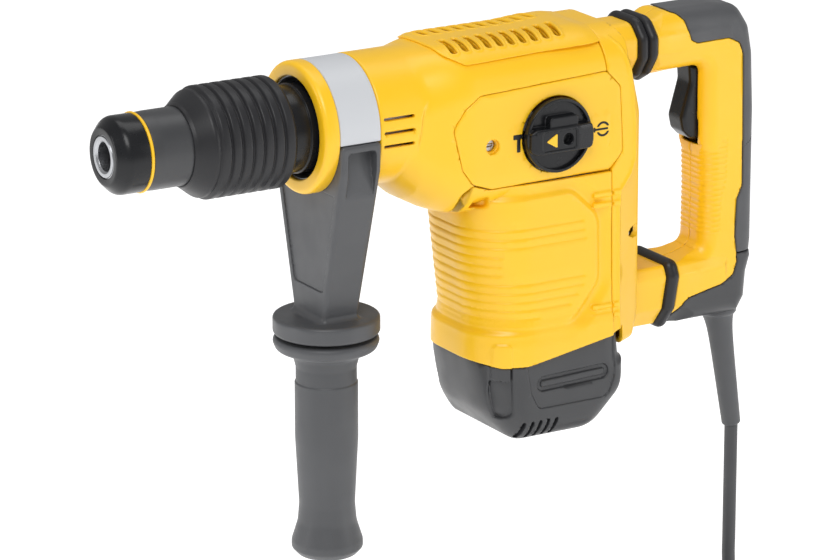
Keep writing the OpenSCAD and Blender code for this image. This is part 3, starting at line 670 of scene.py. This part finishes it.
def side_grip():
    foot = span("side_grip")[0][2]
    profile = [(4.1, FLANGE_LOW - 1.0, 0), (32.5, FLANGE_LOW - 1.0, 2), (34, FLANGE_LOW - 3.4, 3),
               (32, FLANGE_LOW - 8.6, 4), (21.5, FLANGE_LOW - 12.6, 6), (19.4, -158, 6),
               (19.4, -167.4, 0.8), (20.1, -168.4, 0.8), (20.1, -205, 60), (17.8, foot + 34, 30),
               (18.8, foot + 22, 20), (22.8, foot + 9, 8), (22.8, foot + 4.6, 3),
               (18.6, foot, 3),
               (0, foot, 0), (0, -206, 0), (4.1, -206, 0)]
    turned("side_grip_moulding", profile, "side_grip", "grip_rubber", ["side_grip"],
           place=(SIDE_X - 0.6, 0), along="z")


side_grip()

# ---- Gear housing, bonnet and selector panel ----

WALL = 3.5
PANEL_LINE = ((240, 15.5, 4), (334, 19.3, 3), (344, 8.5, 5), (346.5, -33.7, 5), (338, -45.8, 3),
              (250, -46.4, 5), (235.5, -41, 5), (228, -31, 8), (222, -4, 8), (230, 8, 6))
GEAR_LINE = ((160, 70, 0), (400, 70, 0), (400, -46.6, 0), (249, -46.6, 3),
             (235.5, -42, 3), (230, -47, 3), (228.5, -55, 8), (232, -66, 4), (234, -90, 0),
             (160, -90, 0))
# Underside of the neck and belly: heights below the hammer axis along X
BELLY_X = [171, 181, 187, 194, 203, 215, 226, 234, 344]
BELLY_Z = [-38.2, -38.2, -39.8, -46, -53.6, -60, -64, -65.5, -66]


def gear_outer(x, y, z):
    """The round neck widens into the housing's section and drops into the belly under it."""
    along = smooth(x, 186, 238)
    half = 38.2 + (HALF_W - 38.2) * along
    top = 38.2 + 4.6 * smooth(x, 178, 236)
    drop = np.interp(np.ravel(x), BELLY_X, BELLY_Z).reshape(np.shape(x)).astype(np.float32)
    radius = np.where(z > 0, 38.2 - 8.2 * along, 38.2 - 6 * along)
    body = both(soft_rect(y, z, -half, half, drop, top, radius), 171.1 - x, 1)
    sleeve = both(rod(y, z, 0, 0, 42.1),
                  outline(x, z, ((171.1, 60, 0), (235, 60, 0), (202, 8, 20), (199.5, -8, 10),
                                 (198, -46, 26), (171.1, -46, 0))), 1.6)
    return join(body, sleeve, 1.2)


def past_seam(x, z):
    """How far behind the joint between the front housings and the rear one."""
    line = np.interp(np.ravel(z), [-160, -45, 12, 60], [340.3, 338.6, 334.5, 334.3])
    return x - line.reshape(np.shape(z)).astype(np.float32)


def panel_gap(x, y, z):
    """The window that the selector panel closes."""
    return both(outline(x, z, PANEL_LINE), y)


def louvre_cells(x, y):
    """Distance to the nearest of the bonnet's cooling slots, seen from above."""
    nearest = None
    for i in range(10):
        slot = capsule(x, np.abs(y), (233.5 + 8.7 * i, 10), (231.3 + 8.5 * i, 28), 1.9)
        nearest = slot if nearest is None else np.minimum(nearest, slot)
    return nearest


def gear_field(x, y, z):
    outer = gear_outer(x, y, z)
    region = both(outline(x, z, GEAR_LINE), past_seam(x, z) + 0.15)
    shell = cut(both(outer, region, 0.7), outer + WALL)
    shell = cut(shell, rod(y, z, 0, 0, 36.1) + np.maximum(x - 221, 0), 0.2)
    shell = cut(shell, both(panel_gap(x, y, z) - 0.25, y + 30), 0.5)
    for height in (8.5, -0.2, -8.9):
        slot = capsule(x, z, (174.6, height), (194.6, height), 1.0)
        shell = cut(shell, both(slot, 34 - np.abs(y)), 0.35)
    return cut(shell, both(louvre_cells(x, y), 38 - z), 0.2)


moulding("gear_housing_moulding", gear_field, (168, -49, -70), (346, 49, 46), "housing",
         "yellow_shell", ["gear_housing"], step=1.0)

BONNET_LIFT = 1.6


def bonnet_field(x, y, z):
    outer = gear_outer(x, y, z)
    edge = outline(x, z, ((219, 70, 0), (222, 40.5, 5), (234.5, 34.3, 4), (370, 37.6, 0),
                          (370, 70, 0)))
    lift = BONNET_LIFT + 1.7 * smooth(x, 285, 322) - 1.2 * smooth(x, 325, 335)
    plate = both(outer - lift, edge, 1.2)
    plate = both(plate, past_seam(x, z) + 0.15, 0.6)
    slots = louvre_cells(x, y)
    plate = plate - 0.5 * (1 - smooth(np.abs(slots - 1.2), 0.2, 1.6)) * smooth(z, 36, 41)
    plate = cut(plate, outer + 0.05)
    return cut(plate, both(slots, 38 - z), 0.9)


moulding("vent_bonnet_moulding", bonnet_field, (216, -44, 31), (338, 44, 48), "housing",
         "yellow_shell", ["vent_bonnet"], step=0.8)

DIAL_X, DIAL_Z = 295.5, -16.0
ICON_Z = -18.5
SCREW_HOLE = (249.4, -18.2)


def icon_lines(x, z):
    """Hammer at the left of the dial and a chisel inside a split ring at its right."""
    hammer = np.minimum(soft_rect(x, z, 264.1, 271.3, -15.8, -12.6, 0.6),
                        soft_rect(x, z, 266.8, 269.4, -24.2, -14, 0.4))
    chisel = np.minimum(soft_rect(x, z, 324.2, 334.9, -18.2, -16.9, 0.4),
                        soft_rect(x, z, 323.9, 325.3, -19.2, -15.9, 0.5))
    ring = cut(np.abs(rod(x, z, 331, -17.6, 4.2)) - 0.75, slab(z, -19.3, -15.9))
    return np.minimum(np.minimum(hammer, chisel), ring)


def panel_field(x, y, z):
    outer = gear_outer(x, y, z)
    face = both(outer - 0.3, outline(x, z, PANEL_LINE), 0.9)
    face = cut(both(face, y + 20), outer + 2.7)
    face = cut(face, rod(x, z, DIAL_X, DIAL_Z, 24.7), 0.5)
    face = cut(face, rod(x, z, *SCREW_HOLE, 4.8), 0.7)
    for left in (261.5, 321.8):
        frame_line = np.abs(soft_rect(x, z, left, left + 14.5, ICON_Z - 10, ICON_Z + 11, 2))
        face = face + 0.22 * np.exp(-((frame_line / 0.4) ** 2)) * (y < 0)
    return face


moulding("selector_panel_moulding", panel_field, (218, -50, -50), (350, -19, 23), "housing",
         "yellow_shell", ["selector_panel"], step=0.8)


def icons_field(x, y, z):
    return both(icon_lines(x, z), slab(y, -HALF_W - 0.55, -HALF_W + 1.0), 0.1)


moulding("selector_symbols", icons_field, (260, -48, -30), (336, -44, -8), "housing",
         "black_plastic", step=0.45)


def screw_well(x, y, z):
    """Tube that leads to the screw behind the selector panel."""
    well = both(rod(x, z, *SCREW_HOLE, 5.2), slab(y, -44, -37))
    return cut(well, both(rod(x, z, *SCREW_HOLE, 3.9), y + 38.5), 0.4)


moulding("panel_screw_well", screw_well, (242, -46, -26), (257, -35, -11), "housing",
         "yellow_shell", step=0.7)

BAR_DROP = 1.6


def dial_field(x, y, z):
    u, v = x - DIAL_X, z - DIAL_Z
    disc = both(rod(u, v, 0, 0, 24), slab(y, -51.4, -46.2), 0.8)
    for side in (-1, 1):
        segment = both(rod(u, v, 0, 0, 21.8), 7.6 - side * (v + BAR_DROP), 2)
        disc = cut(disc, both(segment, y + 48.6), 0.5)
    w = v + BAR_DROP
    bar = both(outline(u, w, ((-23, -6, 2), (-19, -8.2, 3), (22.3, -8.2, 3), (23.4, -3, 3),
                              (23.4, 3, 3), (22.3, 8.2, 3), (-19, 8.2, 3), (-23, 6, 2))),
               slab(y, -56, -46.5) + 0.1 * np.maximum(np.abs(u) - 12, 0), 1.2)
    inset = both(soft_rect(u, w, -15, 9.5, -6.2, 6.2, 1.5), y + 55.4)
    bar = cut(bar, inset, 0.4)
    tab = both(soft_rect(u, w, -9, 12, 6, 14.5, 2), slab(y, -54.4, -46.5), 0.8)
    stem = both(rod(u, v, 0, 0, 7), slab(y, -47, -41))
    dial = join(join(disc, join(bar, tab, 0.8), 0.8), stem)
    return cut(dial, both(rod(u, w, 4, 0, 3.7), y + 50.5), 0.6)


moulding("mode_dial_moulding", dial_field, (270, -58, -42), (321, -40, 10), "mode_dial",
         "black_plastic", ["mode_dial"], step=0.65)


def pointer_field(x, y, z):
    u, v = x - DIAL_X, z - DIAL_Z
    shape = outline(u, v + BAR_DROP, ((-12.6, 0, 0.6), (-4.4, -4.8, 0.6), (-4.4, 4.8, 0.6)))
    return both(shape, slab(y, -55.8, -55.1), 0.15)


moulding("dial_pointer_inlay", pointer_field, (281, -57, -23), (293, -54.6, -9), "mode_dial",
         "yellow_shell", ["dial_pointer"], step=0.4)

# ---- Motor housing and cap ----

PAD_LINE = ((190, -57.5, 0), (308, -57.5, 10), (326.6, -75, 14), (327.6, -117, 14),
            (309, -140, 14), (190, -140, 0))
# Each groove's height and how far back it runs
ribs = [(-75.6, 318.2), (-81.7, 319.4), (-87.5, 320.6), (-93.7, 261.3), (-99.8, 260.8),
        (-105.8, 261.4), (-112.3, 319.8), (-118.2, 318.8), (-123.9, 314.9), (-129.8, 309.5),
        (-135.6, 286.3)]
CAP_SEAM = ([200, 242, 260, 276, 341, 348], [-160.5, -162.7, -166.9, -166.6, -155.6, -151.5])


def motor_front(z):
    """The motor housing's front slopes back towards its foot."""
    return 239.2 + 9.2 * np.clip((-66 - z) / 76, 0, 1)


def motor_outer(x, y, z):
    """A raised pad with grooves, a shallow moat round it and a skirt over the cap."""
    side = np.abs(y)
    body = soft_rect(x - motor_front(z), y, 0, 260, -HALF_W, HALF_W, 38)
    from_pad = outline(x, z, PAD_LINE)
    moat = smooth(from_pad, 0, 4.5) * (1 - smooth(from_pad, 6, 14))
    body = body + 2.4 * moat
    for height, end in ribs:
        drop = z - height
        shingle = np.exp(-(drop / 1.0) ** 2) + 0.45 * np.clip(1 - np.abs(drop - 2) / 2.4, 0, 1)
        on_pad = (1 - smooth(x, end - 3, end + 1)) * (1 - smooth(from_pad, -2.5, 0))
        body = body + 0.75 * shingle * on_pad
    skirt = both(soft_rect(x, y, 244.6, 500, -46.6, 46.6, 36), z + 144, 3)
    body = join(body, skirt, 7)
    body = np.minimum(body, gear_outer(x, y, z))
    pocket = both(soft_rect(x, z, 240, 252, -60.5, -52.5, 3), np.maximum(-body - 3.4, 26 - side))
    return cut(body, pocket, 1.2)


def cap_seam(x, z, gap):
    """How far above the joint between the motor housing and its cap."""
    line = np.interp(np.ravel(x), *CAP_SEAM).reshape(np.shape(x)).astype(np.float32)
    return z - line + gap


def clip_ridges(x, y, z):
    """Pairs of rounded ridges that run across the joint to the rear housing."""
    ridges = None
    for middle in (-60.7, -67.7, -135.4, -142):
        ridge = both(soft_rect(x, z, 324.5, 345.8, middle - 1.8, middle + 1.8, 1.6),
                     slab(np.abs(y), 40, HALF_W + 1.2), 1.2)
        ridges = ridge if ridges is None else np.minimum(ridges, ridge)
    return ridges


def motor_field(x, y, z):
    side = np.abs(y)
    outer = motor_outer(x, y, z)
    region = both(-outline(x, z, GEAR_LINE), past_seam(x, z))
    shell = both(both(outer, region + 0.15, 0.7), -cap_seam(x, z, -0.15), 0.7)
    shell = join(shell, both(clip_ridges(x, y, z), past_seam(x, z) + 0.5), 0.8)
    tab = both(soft_rect(x, z, 255, 265.4, -200, -151, 3), np.maximum(outer - 0.9, 34 - side), 0.8)
    tab = both(tab, -cap_seam(x, z, -0.15), 0.5)
    hollow = soft_rect(x - motor_front(z), y, WALL + 0.6, 260, -HALF_W + WALL, HALF_W - WALL, 34)
    hollow = np.maximum(hollow, outer + 1.7)
    shell = cut(shell, hollow)
    return join(shell, cut(tab, hollow), 0.8)


moulding("motor_housing_moulding", motor_field, (236, -50, -182), (346, 50, -38), "housing",
         "yellow_shell", ["motor_housing"], step=1.0)


def cap_profile(x, z):
    """The cap from the side."""
    return outline(x, z, ((244.6, -120, 0), (244.6, -168, 20), (254, -197.5, 25),
                          (271, -218.4, 12), (329, -218.4, 22), (355.4, -192.5, 20),
                          (355.4, -169.5, 4), (350.6, -169.5, 1), (348.4, -150, 1),
                          (348.4, -120, 0)))


def cap_field(x, y, z):
    side = np.abs(y)
    profile = cap_profile(x, z)
    plan = np.where(x > 300, soft_rect(x, y, 244.6, 357.5, -46.2, 46.2, 12),
                    soft_rect(x, y, 244.6, 357.5, -46.2, 46.2, 34))
    body = both(profile, plan, 14)
    scoop = both(capsule(x, z, (260, -150), (261.6, -196), 5.6),
                 np.maximum(-body - 2.9, 31 - side), 1)
    tab = both(soft_rect(x, z, 255.2, 265.2, -176, -150, 1.5), np.maximum(body - 0.1, 31 - side))
    dip = outline(x, z, ((276.5, -140, 0), (276.5, -168, 4), (279.5, -186, 6), (285, -196.5, 4),
                         (338, -196.5, 6), (342.5, -183, 6), (342.5, -140, 0)))
    outside = body
    body = join(cut(body, scoop, 1.5), both(tab, -(outside + 5)), 0.6)
    body = cut(body, both(dip, -(outside + 1.0)), 0.9)
    oval = capsule(x, z, (289, -180.6), (333, -179.4), 5.0)
    body = cut(body, both(oval, -(outside + 2.6)), 0.9)
    bar = both(oval + 2.8, np.maximum(outside + 1.1, -(outside + 4)), 0.8)
    body = join(body, bar, 0.5)
    body = both(body, cap_seam(x, z, 0.15), 0.7)
    hollow = both(both(profile + WALL + 1.5, plan + WALL + 1.5, 11), slab(z, -218, -100))
    body = cut(body, np.maximum(hollow, body + 1.8))
    for i in range(5):
        vent = capsule(x, z, (272 + 6 * i, -214.5), (274.5 + 6 * i, -205.5), 1.2)
        body = cut(body, both(vent, 30 - side), 0.3)
    return body


moulding("motor_cap_moulding", cap_field, (240, -50, -224), (365, 50, -150), "housing",
         "dark_plastic", ["motor_cap"], step=0.95)

MOTOR_X = 284


def stator_field(x, y, z):
    """Stack of thin iron sheets with two windows for the coils, smaller than the sloping shell."""
    around = rod(x, y, MOTOR_X, 0, 0)
    windows = both(slab(around, 23, 32.6), np.abs(y) - 0.72 * around)
    core = cut(around - 35.3, windows)
    return both(cut(core, around - 22.6), slab(z, -128, -78), 0.4)


moulding("stator_stack", stator_field, (246, -38, -130), (322, 38, -76), "housing", "lamination",
         ["stator_core"], step=0.95)

# ---- Tool holder ----

turned("tool_holder_mouth", [(9.05, 36, 0), (9.05, 1.6, 0.5), (10.4, 0.2, 0.5), (12.7, 0.2, 0.4),
                             (12.9, 1, 0.3), (13.5, 1.2, 0.2), (13.5, 10, 0), (15.5, 10, 0.5),
                             (15.5, 36, 0)], "tool_holder", "steel", ["tool_holder_tube"])


def holder_field(x, y, z):
    outer = np.minimum(rod(y, z, 0, 0, 15.5), both(rod(y, z, 0, 0, 20), 92 - x, 0.6))
    bore = np.where(x > 108, rod(y, z, 0, 0, 14.05), rod(y, z, 0, 0, 10.05))
    bore = np.where(x < 80, rod(y, z, 0, 0, 9.05), bore)
    tube = cut(both(outer, slab(x, 36, 148), 0.5), bore)
    windows = both(slab(x, 40, 53), both(slab(np.abs(y), 9.3, 18.7), slab(z, -3.3, 3.3)))
    return cut(tube, windows, 0.3)


moulding("tool_holder_sleeve", holder_field, (34, -22, -22), (150, 22, 22), "tool_holder",
         "steel", step=0.9)

# ---- Rear housing ----

UPPER_ARM = ((-3.5, 0.5, 4), (3.5, 0.5, 4), (13.8, 6.5, 5), (21.3, 17.5, 5), (21.3, 29, 5),
             (12.5, 38.8, 9), (-12.5, 38.8, 9), (-21.3, 29, 5), (-21.3, 17.5, 5),
             (-13.8, 6.5, 5))
LOWER_ARM = ((-8, -168, 3), (8, -168, 3), (18, -155, 4), (23, -132.5, 3), (19.5, -125, 3),
             (-19.5, -125, 3), (-23, -132.5, 3), (-18, -155, 4))
PIN_Z = (23, -140)
SCREW_Y = 35.5
SCREW_ENDS = ((26, 348), (-92, 357))


def rear_outer(x, y, z):
    """Back of the housing: its side faces end at a raised bead, then bevel to the rear face."""
    side = np.abs(y)
    profile = outline(x, z, ((325, 62, 0), (349.5, 45, 6), (360, 19, 10), (371.4, -14, 16),
                             (371.8, -148, 10), (365, -165.5, 6), (325, -165.5, 0)))
    plan = outline(x, side, ((300, -60, 0), (300, 46, 0), (345.6, 46, 1.5), (372.4, 30.5, 9),
                             (372.4, -60, 0)))
    section = soft_rect(y, z, -46, 46, -165.5, 44.2, np.where(z > -60, 30, 5))
    body = both(both(plan, profile, 7), section)
    ridge = outline(x, z, ((300, 62, 0), (340, 43, 3), (349, 33.5, 9), (353, 18, 10),
                           (355.4, 2, 14), (357.1, -16, 12), (357.2, -41, 8), (353.8, -50.5, 6),
                           (346.4, -61, 3), (345.5, -73, 0), (346.3, -134, 0), (347.2, -153, 0),
                           (347.2, -166, 2), (300, -166, 0)))
    bead = 0.8 * np.exp(-(((ridge + 1.3) / 1.0) ** 2)) * (1 - smooth(z, 33, 41))
    return np.minimum(body, both(ridge, section - bead, 0.9))


def rear_field(x, y, z):
    side = np.abs(y)
    outer = rear_outer(x, y, z)
    seam = 0.15 - past_seam(x, z)
    shell = cut(both(outer, seam, 0.7), outer + WALL)
    shell = join(shell, both(clip_ridges(x, y, z), seam + 0.35), 0.8)
    shell = cut(shell, both(panel_gap(x, y, z) - 0.25, y + 30), 0.4)
    cap = both(cap_profile(x, z), cap_seam(x, z, 0.15))
    shell = cut(shell, cap - 0.3, 0.4)
    upper = both(outline(y, z, UPPER_ARM), slab(x, 352, 373.6), 0.8)
    lower = both(outline(y, z, LOWER_ARM), slab(x, 366, 397.3), 0.8)
    shell = join(shell, join(upper, lower), 4)
    for height, end in SCREW_ENDS:
        boss = both(rod(side, z, SCREW_Y - 2, height, 4), slab(x, 344, end - 6))
        well = both(rod(side, z, SCREW_Y, height, 4), end - 2.7 - x)
        shell = cut(join(shell, boss), join(well, rod(side, z, SCREW_Y, height, 2.2)), 0.3)
    for height in PIN_Z:
        shell = cut(shell, rod(y, z, 0, height, 4.05))
    return cut(shell, both(rod(y, z, 0, PIN_Z[1], 8.6), 391.4 - x))


moulding("rear_housing_moulding", rear_field, (332, -49, -171), (399, 49, 46), "housing",
         "yellow_shell", ["rear_housing"], step=1.05)


def screws_field(x, y, z):
    side = np.abs(y)
    screws = both(rod(x, z, 249, -18, 4.2), slab(y, -41.5, -39.5), 0.4)
    screws = cut(screws, both(soft_rect(x, z, 246.6, 251.4, -18.7, -17.3, 0.3), y + 40.7))
    for height, end in SCREW_ENDS:
        around = rod(side, z, SCREW_Y, height, 0)
        screw = both(around - 2, slab(x, 336, end - 1))
        head = both(around - 3.6, slab(x, end - 2.5, end), 0.7)
        head = cut(head, both(around - 1.5, end - 1.6 - x))
        screws = np.minimum(screws, np.minimum(screw, head))
    for place in ((272, 36.9), (330, 37.5)):
        around = rod(x, side, *place, 0)
        screws = np.minimum(screws, both(around - 2, slab(z, -181, -142)))
        screws = np.minimum(screws, both(around - 3.6, slab(z, -182.7, -180.2), 0.6))
    return screws


moulding("housing_screw_set", screws_field, (243, -43, -185), (369, 43, 31), "housing", "steel",
         ["housing_screws"], step=0.85)

# ---- Bellows between the rear housing and the handle ----


def bellows(name, section, start, end, rings, node):
    def field(x, y, z):
        fold = np.sqrt(np.abs(np.sin(math.pi * rings * (x - start) / (end - start))))
        around = outline(y, z, section)
        skin = both(around + 0.6 - 3.7 * fold, slab(x, start, end), 0.6)
        return cut(skin, around + 4)

    heights = [point[1] for point in section]
    low, high = (start - 2, -28, min(heights) - 5), (end + 2, 28, max(heights) + 5)
    piece = moulding(name, field, low, high, None, "rubber_boot", [node], step=0.75)
    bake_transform(piece)


bellows("upper_bellows_moulding", UPPER_ARM, 373.8, HANDLE_FRONT - 0.2, 2, "upper_bellows")
bellows("lower_bellows_moulding", LOWER_ARM, 397.4, 406.9, 1, "lower_bellows")

# ---- Rear handle ----

# Side outlines of the handle, its ribbed grip patch, its rubber back and the cord bracket
HANDLE_SIDE = ((370, 42.8, 0), (438, 42.8, 14), (456, 40.3, 12), (465.3, 26, 12), (468.6, 8, 20),
               (470.3, -30, 30), (470.3, -119, 8), (469.7, -124, 3), (470.8, -130, 3),
               (467.6, -141, 5), (466.2, -158, 4), (460, -168, 3), (390, -168, 0),
               (390, -125.6, 0), (430, -119.2, 6), (430.3, -80, 40), (429.6, -57, 4),
               (427.6, -50.5, 3), (427.6, 3.5, 4), (370, 3.5, 0))
GRIP_PATCH = ((420, -54, 0), (438, -55, 5), (443.5, -46, 2), (447.4, -46, 2), (446.2, -75, 4),
              (443.2, -84, 4), (441.3, -111, 2), (420, -111, 0))
RUBBER = ((401, 62, 0), (402, 42.5, 3), (407.2, 40.8, 3), (411.8, 36.5, 4), (414, 29, 4),
          (416, 23.3, 3), (421, 20.8, 4), (446, 21, 8), (455, 16.5, 5), (457.8, 9, 5),
          (459, -55, 0), (459.2, -80, 3), (455, -89, 3), (454.3, -114, 3), (455.6, -125.5, 0),
          (482, -125.5, 0), (482, 62, 0))
BRACKET = ((400, -168.5, 0), (404.5, -164.8, 1), (411, -158.5, 3), (414.2, -152.6, 4),
           (418.5, -150.2, 4), (444, -145.6, 6), (453.4, -140.5, 5), (456.2, -131, 4),
           (455.6, -126, 0), (482, -126, 0), (482, -180, 0), (400, -180, 0))
HANDLE_BOSSES = ((417, 29), (450, 27), (451, -98), (432, -135))


def handle_outer(x, y, z):
    """The D shape: two faceted arms from the bellows, and a rounded grip behind them."""
    body = both(outline(x, z, HANDLE_SIDE), np.abs(y) - 18, 11)
    spread = 300 * smooth(x, 426, 438)
    upper = outline(y, z, UPPER_ARM) - 5 * smooth(x, 388, 404)
    lower = outline(y, z, LOWER_ARM) - 6 * smooth(x, 408, 436)
    front = np.where(z > -50, both(upper, 389.1 - x, 0.8), both(lower, 407.1 - x, 0.8))
    arm = np.where(z > -50, outline(y, z, UPPER_ARM) + 3.6 * smooth(x, 394, 440),
                   outline(y, z, LOWER_ARM) + 4 * smooth(x, 410, 446))
    arm = both(arm, x - 446)
    return both(join(body, arm, 3), front - spread)


def handle_surface(x, y, z):
    """The outside, with the fine grip ribs."""
    patch = outline(x, z, GRIP_PATCH)
    wave = 0.5 + 0.5 * np.cos(2 * math.pi * z / 3.53)
    on_patch = 1 - smooth(patch, -0.8, 0.4)
    return handle_outer(x, y, z) + on_patch * (0.35 - 0.55 * wave**2)


def shell_field(x, y, z, side):
    outer = handle_surface(x, y, z)
    deep = handle_outer(x, y, z)
    rubber = np.minimum(outline(x, z, RUBBER), outline(x, z, BRACKET))
    shell = cut(outer, both(rubber - 0.15, -deep - 3.1), 0.5)
    shell = cut(shell, deep + 3.4 + 3 * (1 - smooth(rubber, -3, 0)))
    for place in HANDLE_BOSSES:
        around = rod(x, z, *place, 0)
        shell = join(shell, both(around - 4.5, np.abs(y) - 17))
        shell = cut(shell, both(around - 1.7, 4 - 18 - y))
        shell = cut(shell, both(around - 3.4, 18 - 2.6 - y), 0.3)
    for start, height in ((389.2, PIN_Z[0]), (407.2, PIN_Z[1])):
        seat = both(rod(y, z, 0, height, 8), slab(x, start, start + 11))
        shell = cut(join(shell, seat), both(rod(y, z, 0, height, 4.05), x - start - 10.2))
    slot = both(soft_rect(x, z, 400, 442, -50.8, 3.8, 1), np.abs(y) - 9.4)
    slot = np.minimum(slot, both(rod(x, z, 440, -2, 3.1), np.abs(y) - 15.9))
    shell = cut(shell, slot, 0.5)
    return both(shell, 0.1 - side * y, 0.5)


for name, side, node in (("handle_left_moulding", 1, "handle_left_shell"),
                         ("handle_right_moulding", -1, "handle_right_shell")):
    moulding(name, lambda x, y, z, side=side: shell_field(x, y, z, side),
             (387, min(0, side * 24) - 1, -169), (473, max(0, side * 24) + 1, 46), "rear_handle",
             "yellow_shell", [node], step=0.9)


def rubber_field(x, y, z):
    outer = handle_outer(x, y, z)
    skin = both(outer - 0.55, outline(x, z, RUBBER) + 0.15, 0.9)
    skin = both(skin, -outer - 2.9)
    across = np.abs(np.abs(y) - 8.5)
    line = both(across - 0.3, np.maximum(x - 500, z - 22))
    low_line = np.abs(z + 52 - 0.5 * (x - 462)) - 0.3
    skin = cut(skin, both(np.minimum(line, low_line), -outer + 0.1), 0.2)
    return skin


moulding("handle_overmold_moulding", rubber_field, (397, -23, -127), (474, 23, 47), "rear_handle",
         "grip_rubber", ["handle_overmold"], step=0.9)


def bracket_field(x, y, z):
    outer = handle_outer(x, y, z)
    skin = both(outer - 0.4, outline(x, z, BRACKET) + 0.15, 0.9)
    solid = cut(skin, both(-outer - 60, outer + 3.2))
    return cut(solid, outer + 4)


moulding("cord_bracket_moulding", bracket_field, (399, -23, -170), (474, 23, -120), "rear_handle",
         "dark_plastic", ["cord_bracket"], step=0.9)

TRIGGER = ((422.5, 3, 1), (423.5, -8, 10), (420, -20, 14), (416.6, -32, 7), (418.5, -40.5, 5),
           (424, -46, 5), (430, -47.4, 4), (437, -47, 2), (438, -20, 3), (443, -4, 2),
           (442, 1, 2), (436, 3, 1))


def trigger_field(x, y, z):
    side = np.abs(y)
    shape = outline(x, z, TRIGGER)
    body = both(shape, side - 8.9, 3)
    return join(body, both(rod(x, z, 440, -2, 3), side - 15.8), 0.4)


moulding("trigger_moulding", trigger_field, (410, -17, -47), (445, 17, 5), "trigger",
         "black_plastic", ["trigger"], step=0.6)

RELIEF_TOP, RELIEF_END = (453.8, -168.4), (466.7, -250.5)


def relief_field(x, y, z):
    run = math.dist(RELIEF_TOP, RELIEF_END)
    lean, drop = (RELIEF_END[0] - RELIEF_TOP[0]) / run, (RELIEF_END[1] - RELIEF_TOP[1]) / run
    u, v = x - RELIEF_TOP[0], z - RELIEF_TOP[1]
    along = u * lean + v * drop
    around = length(u * drop - v * lean, y)
    radius = 6.3 + 2.2 * (1 - along / run) + 3.6 * np.exp(-np.maximum(along, 0) / 7)
    sleeve = both(around - radius, slab(along, -3, run + 0.5), 1.6)
    top = both(rod(x, y, RELIEF_TOP[0] - 0.5, 0, 12.6), slab(z, -170, -166.3), 1)
    return join(sleeve, top, 2)


moulding("strain_relief_moulding", relief_field, (437, -16, -255), (477, 16, -164), "rear_handle",
         "grip_rubber", ["strain_relief"], step=0.8)

# ---- Kept CAD nodes get their slots' materials ----

for subpart in frame["record"]["subparts"]:
    node = frame["nodes"][subpart["node"]]
    node.data.materials.clear()
    node.data.materials.append(materials[subpart["material_slot"]])
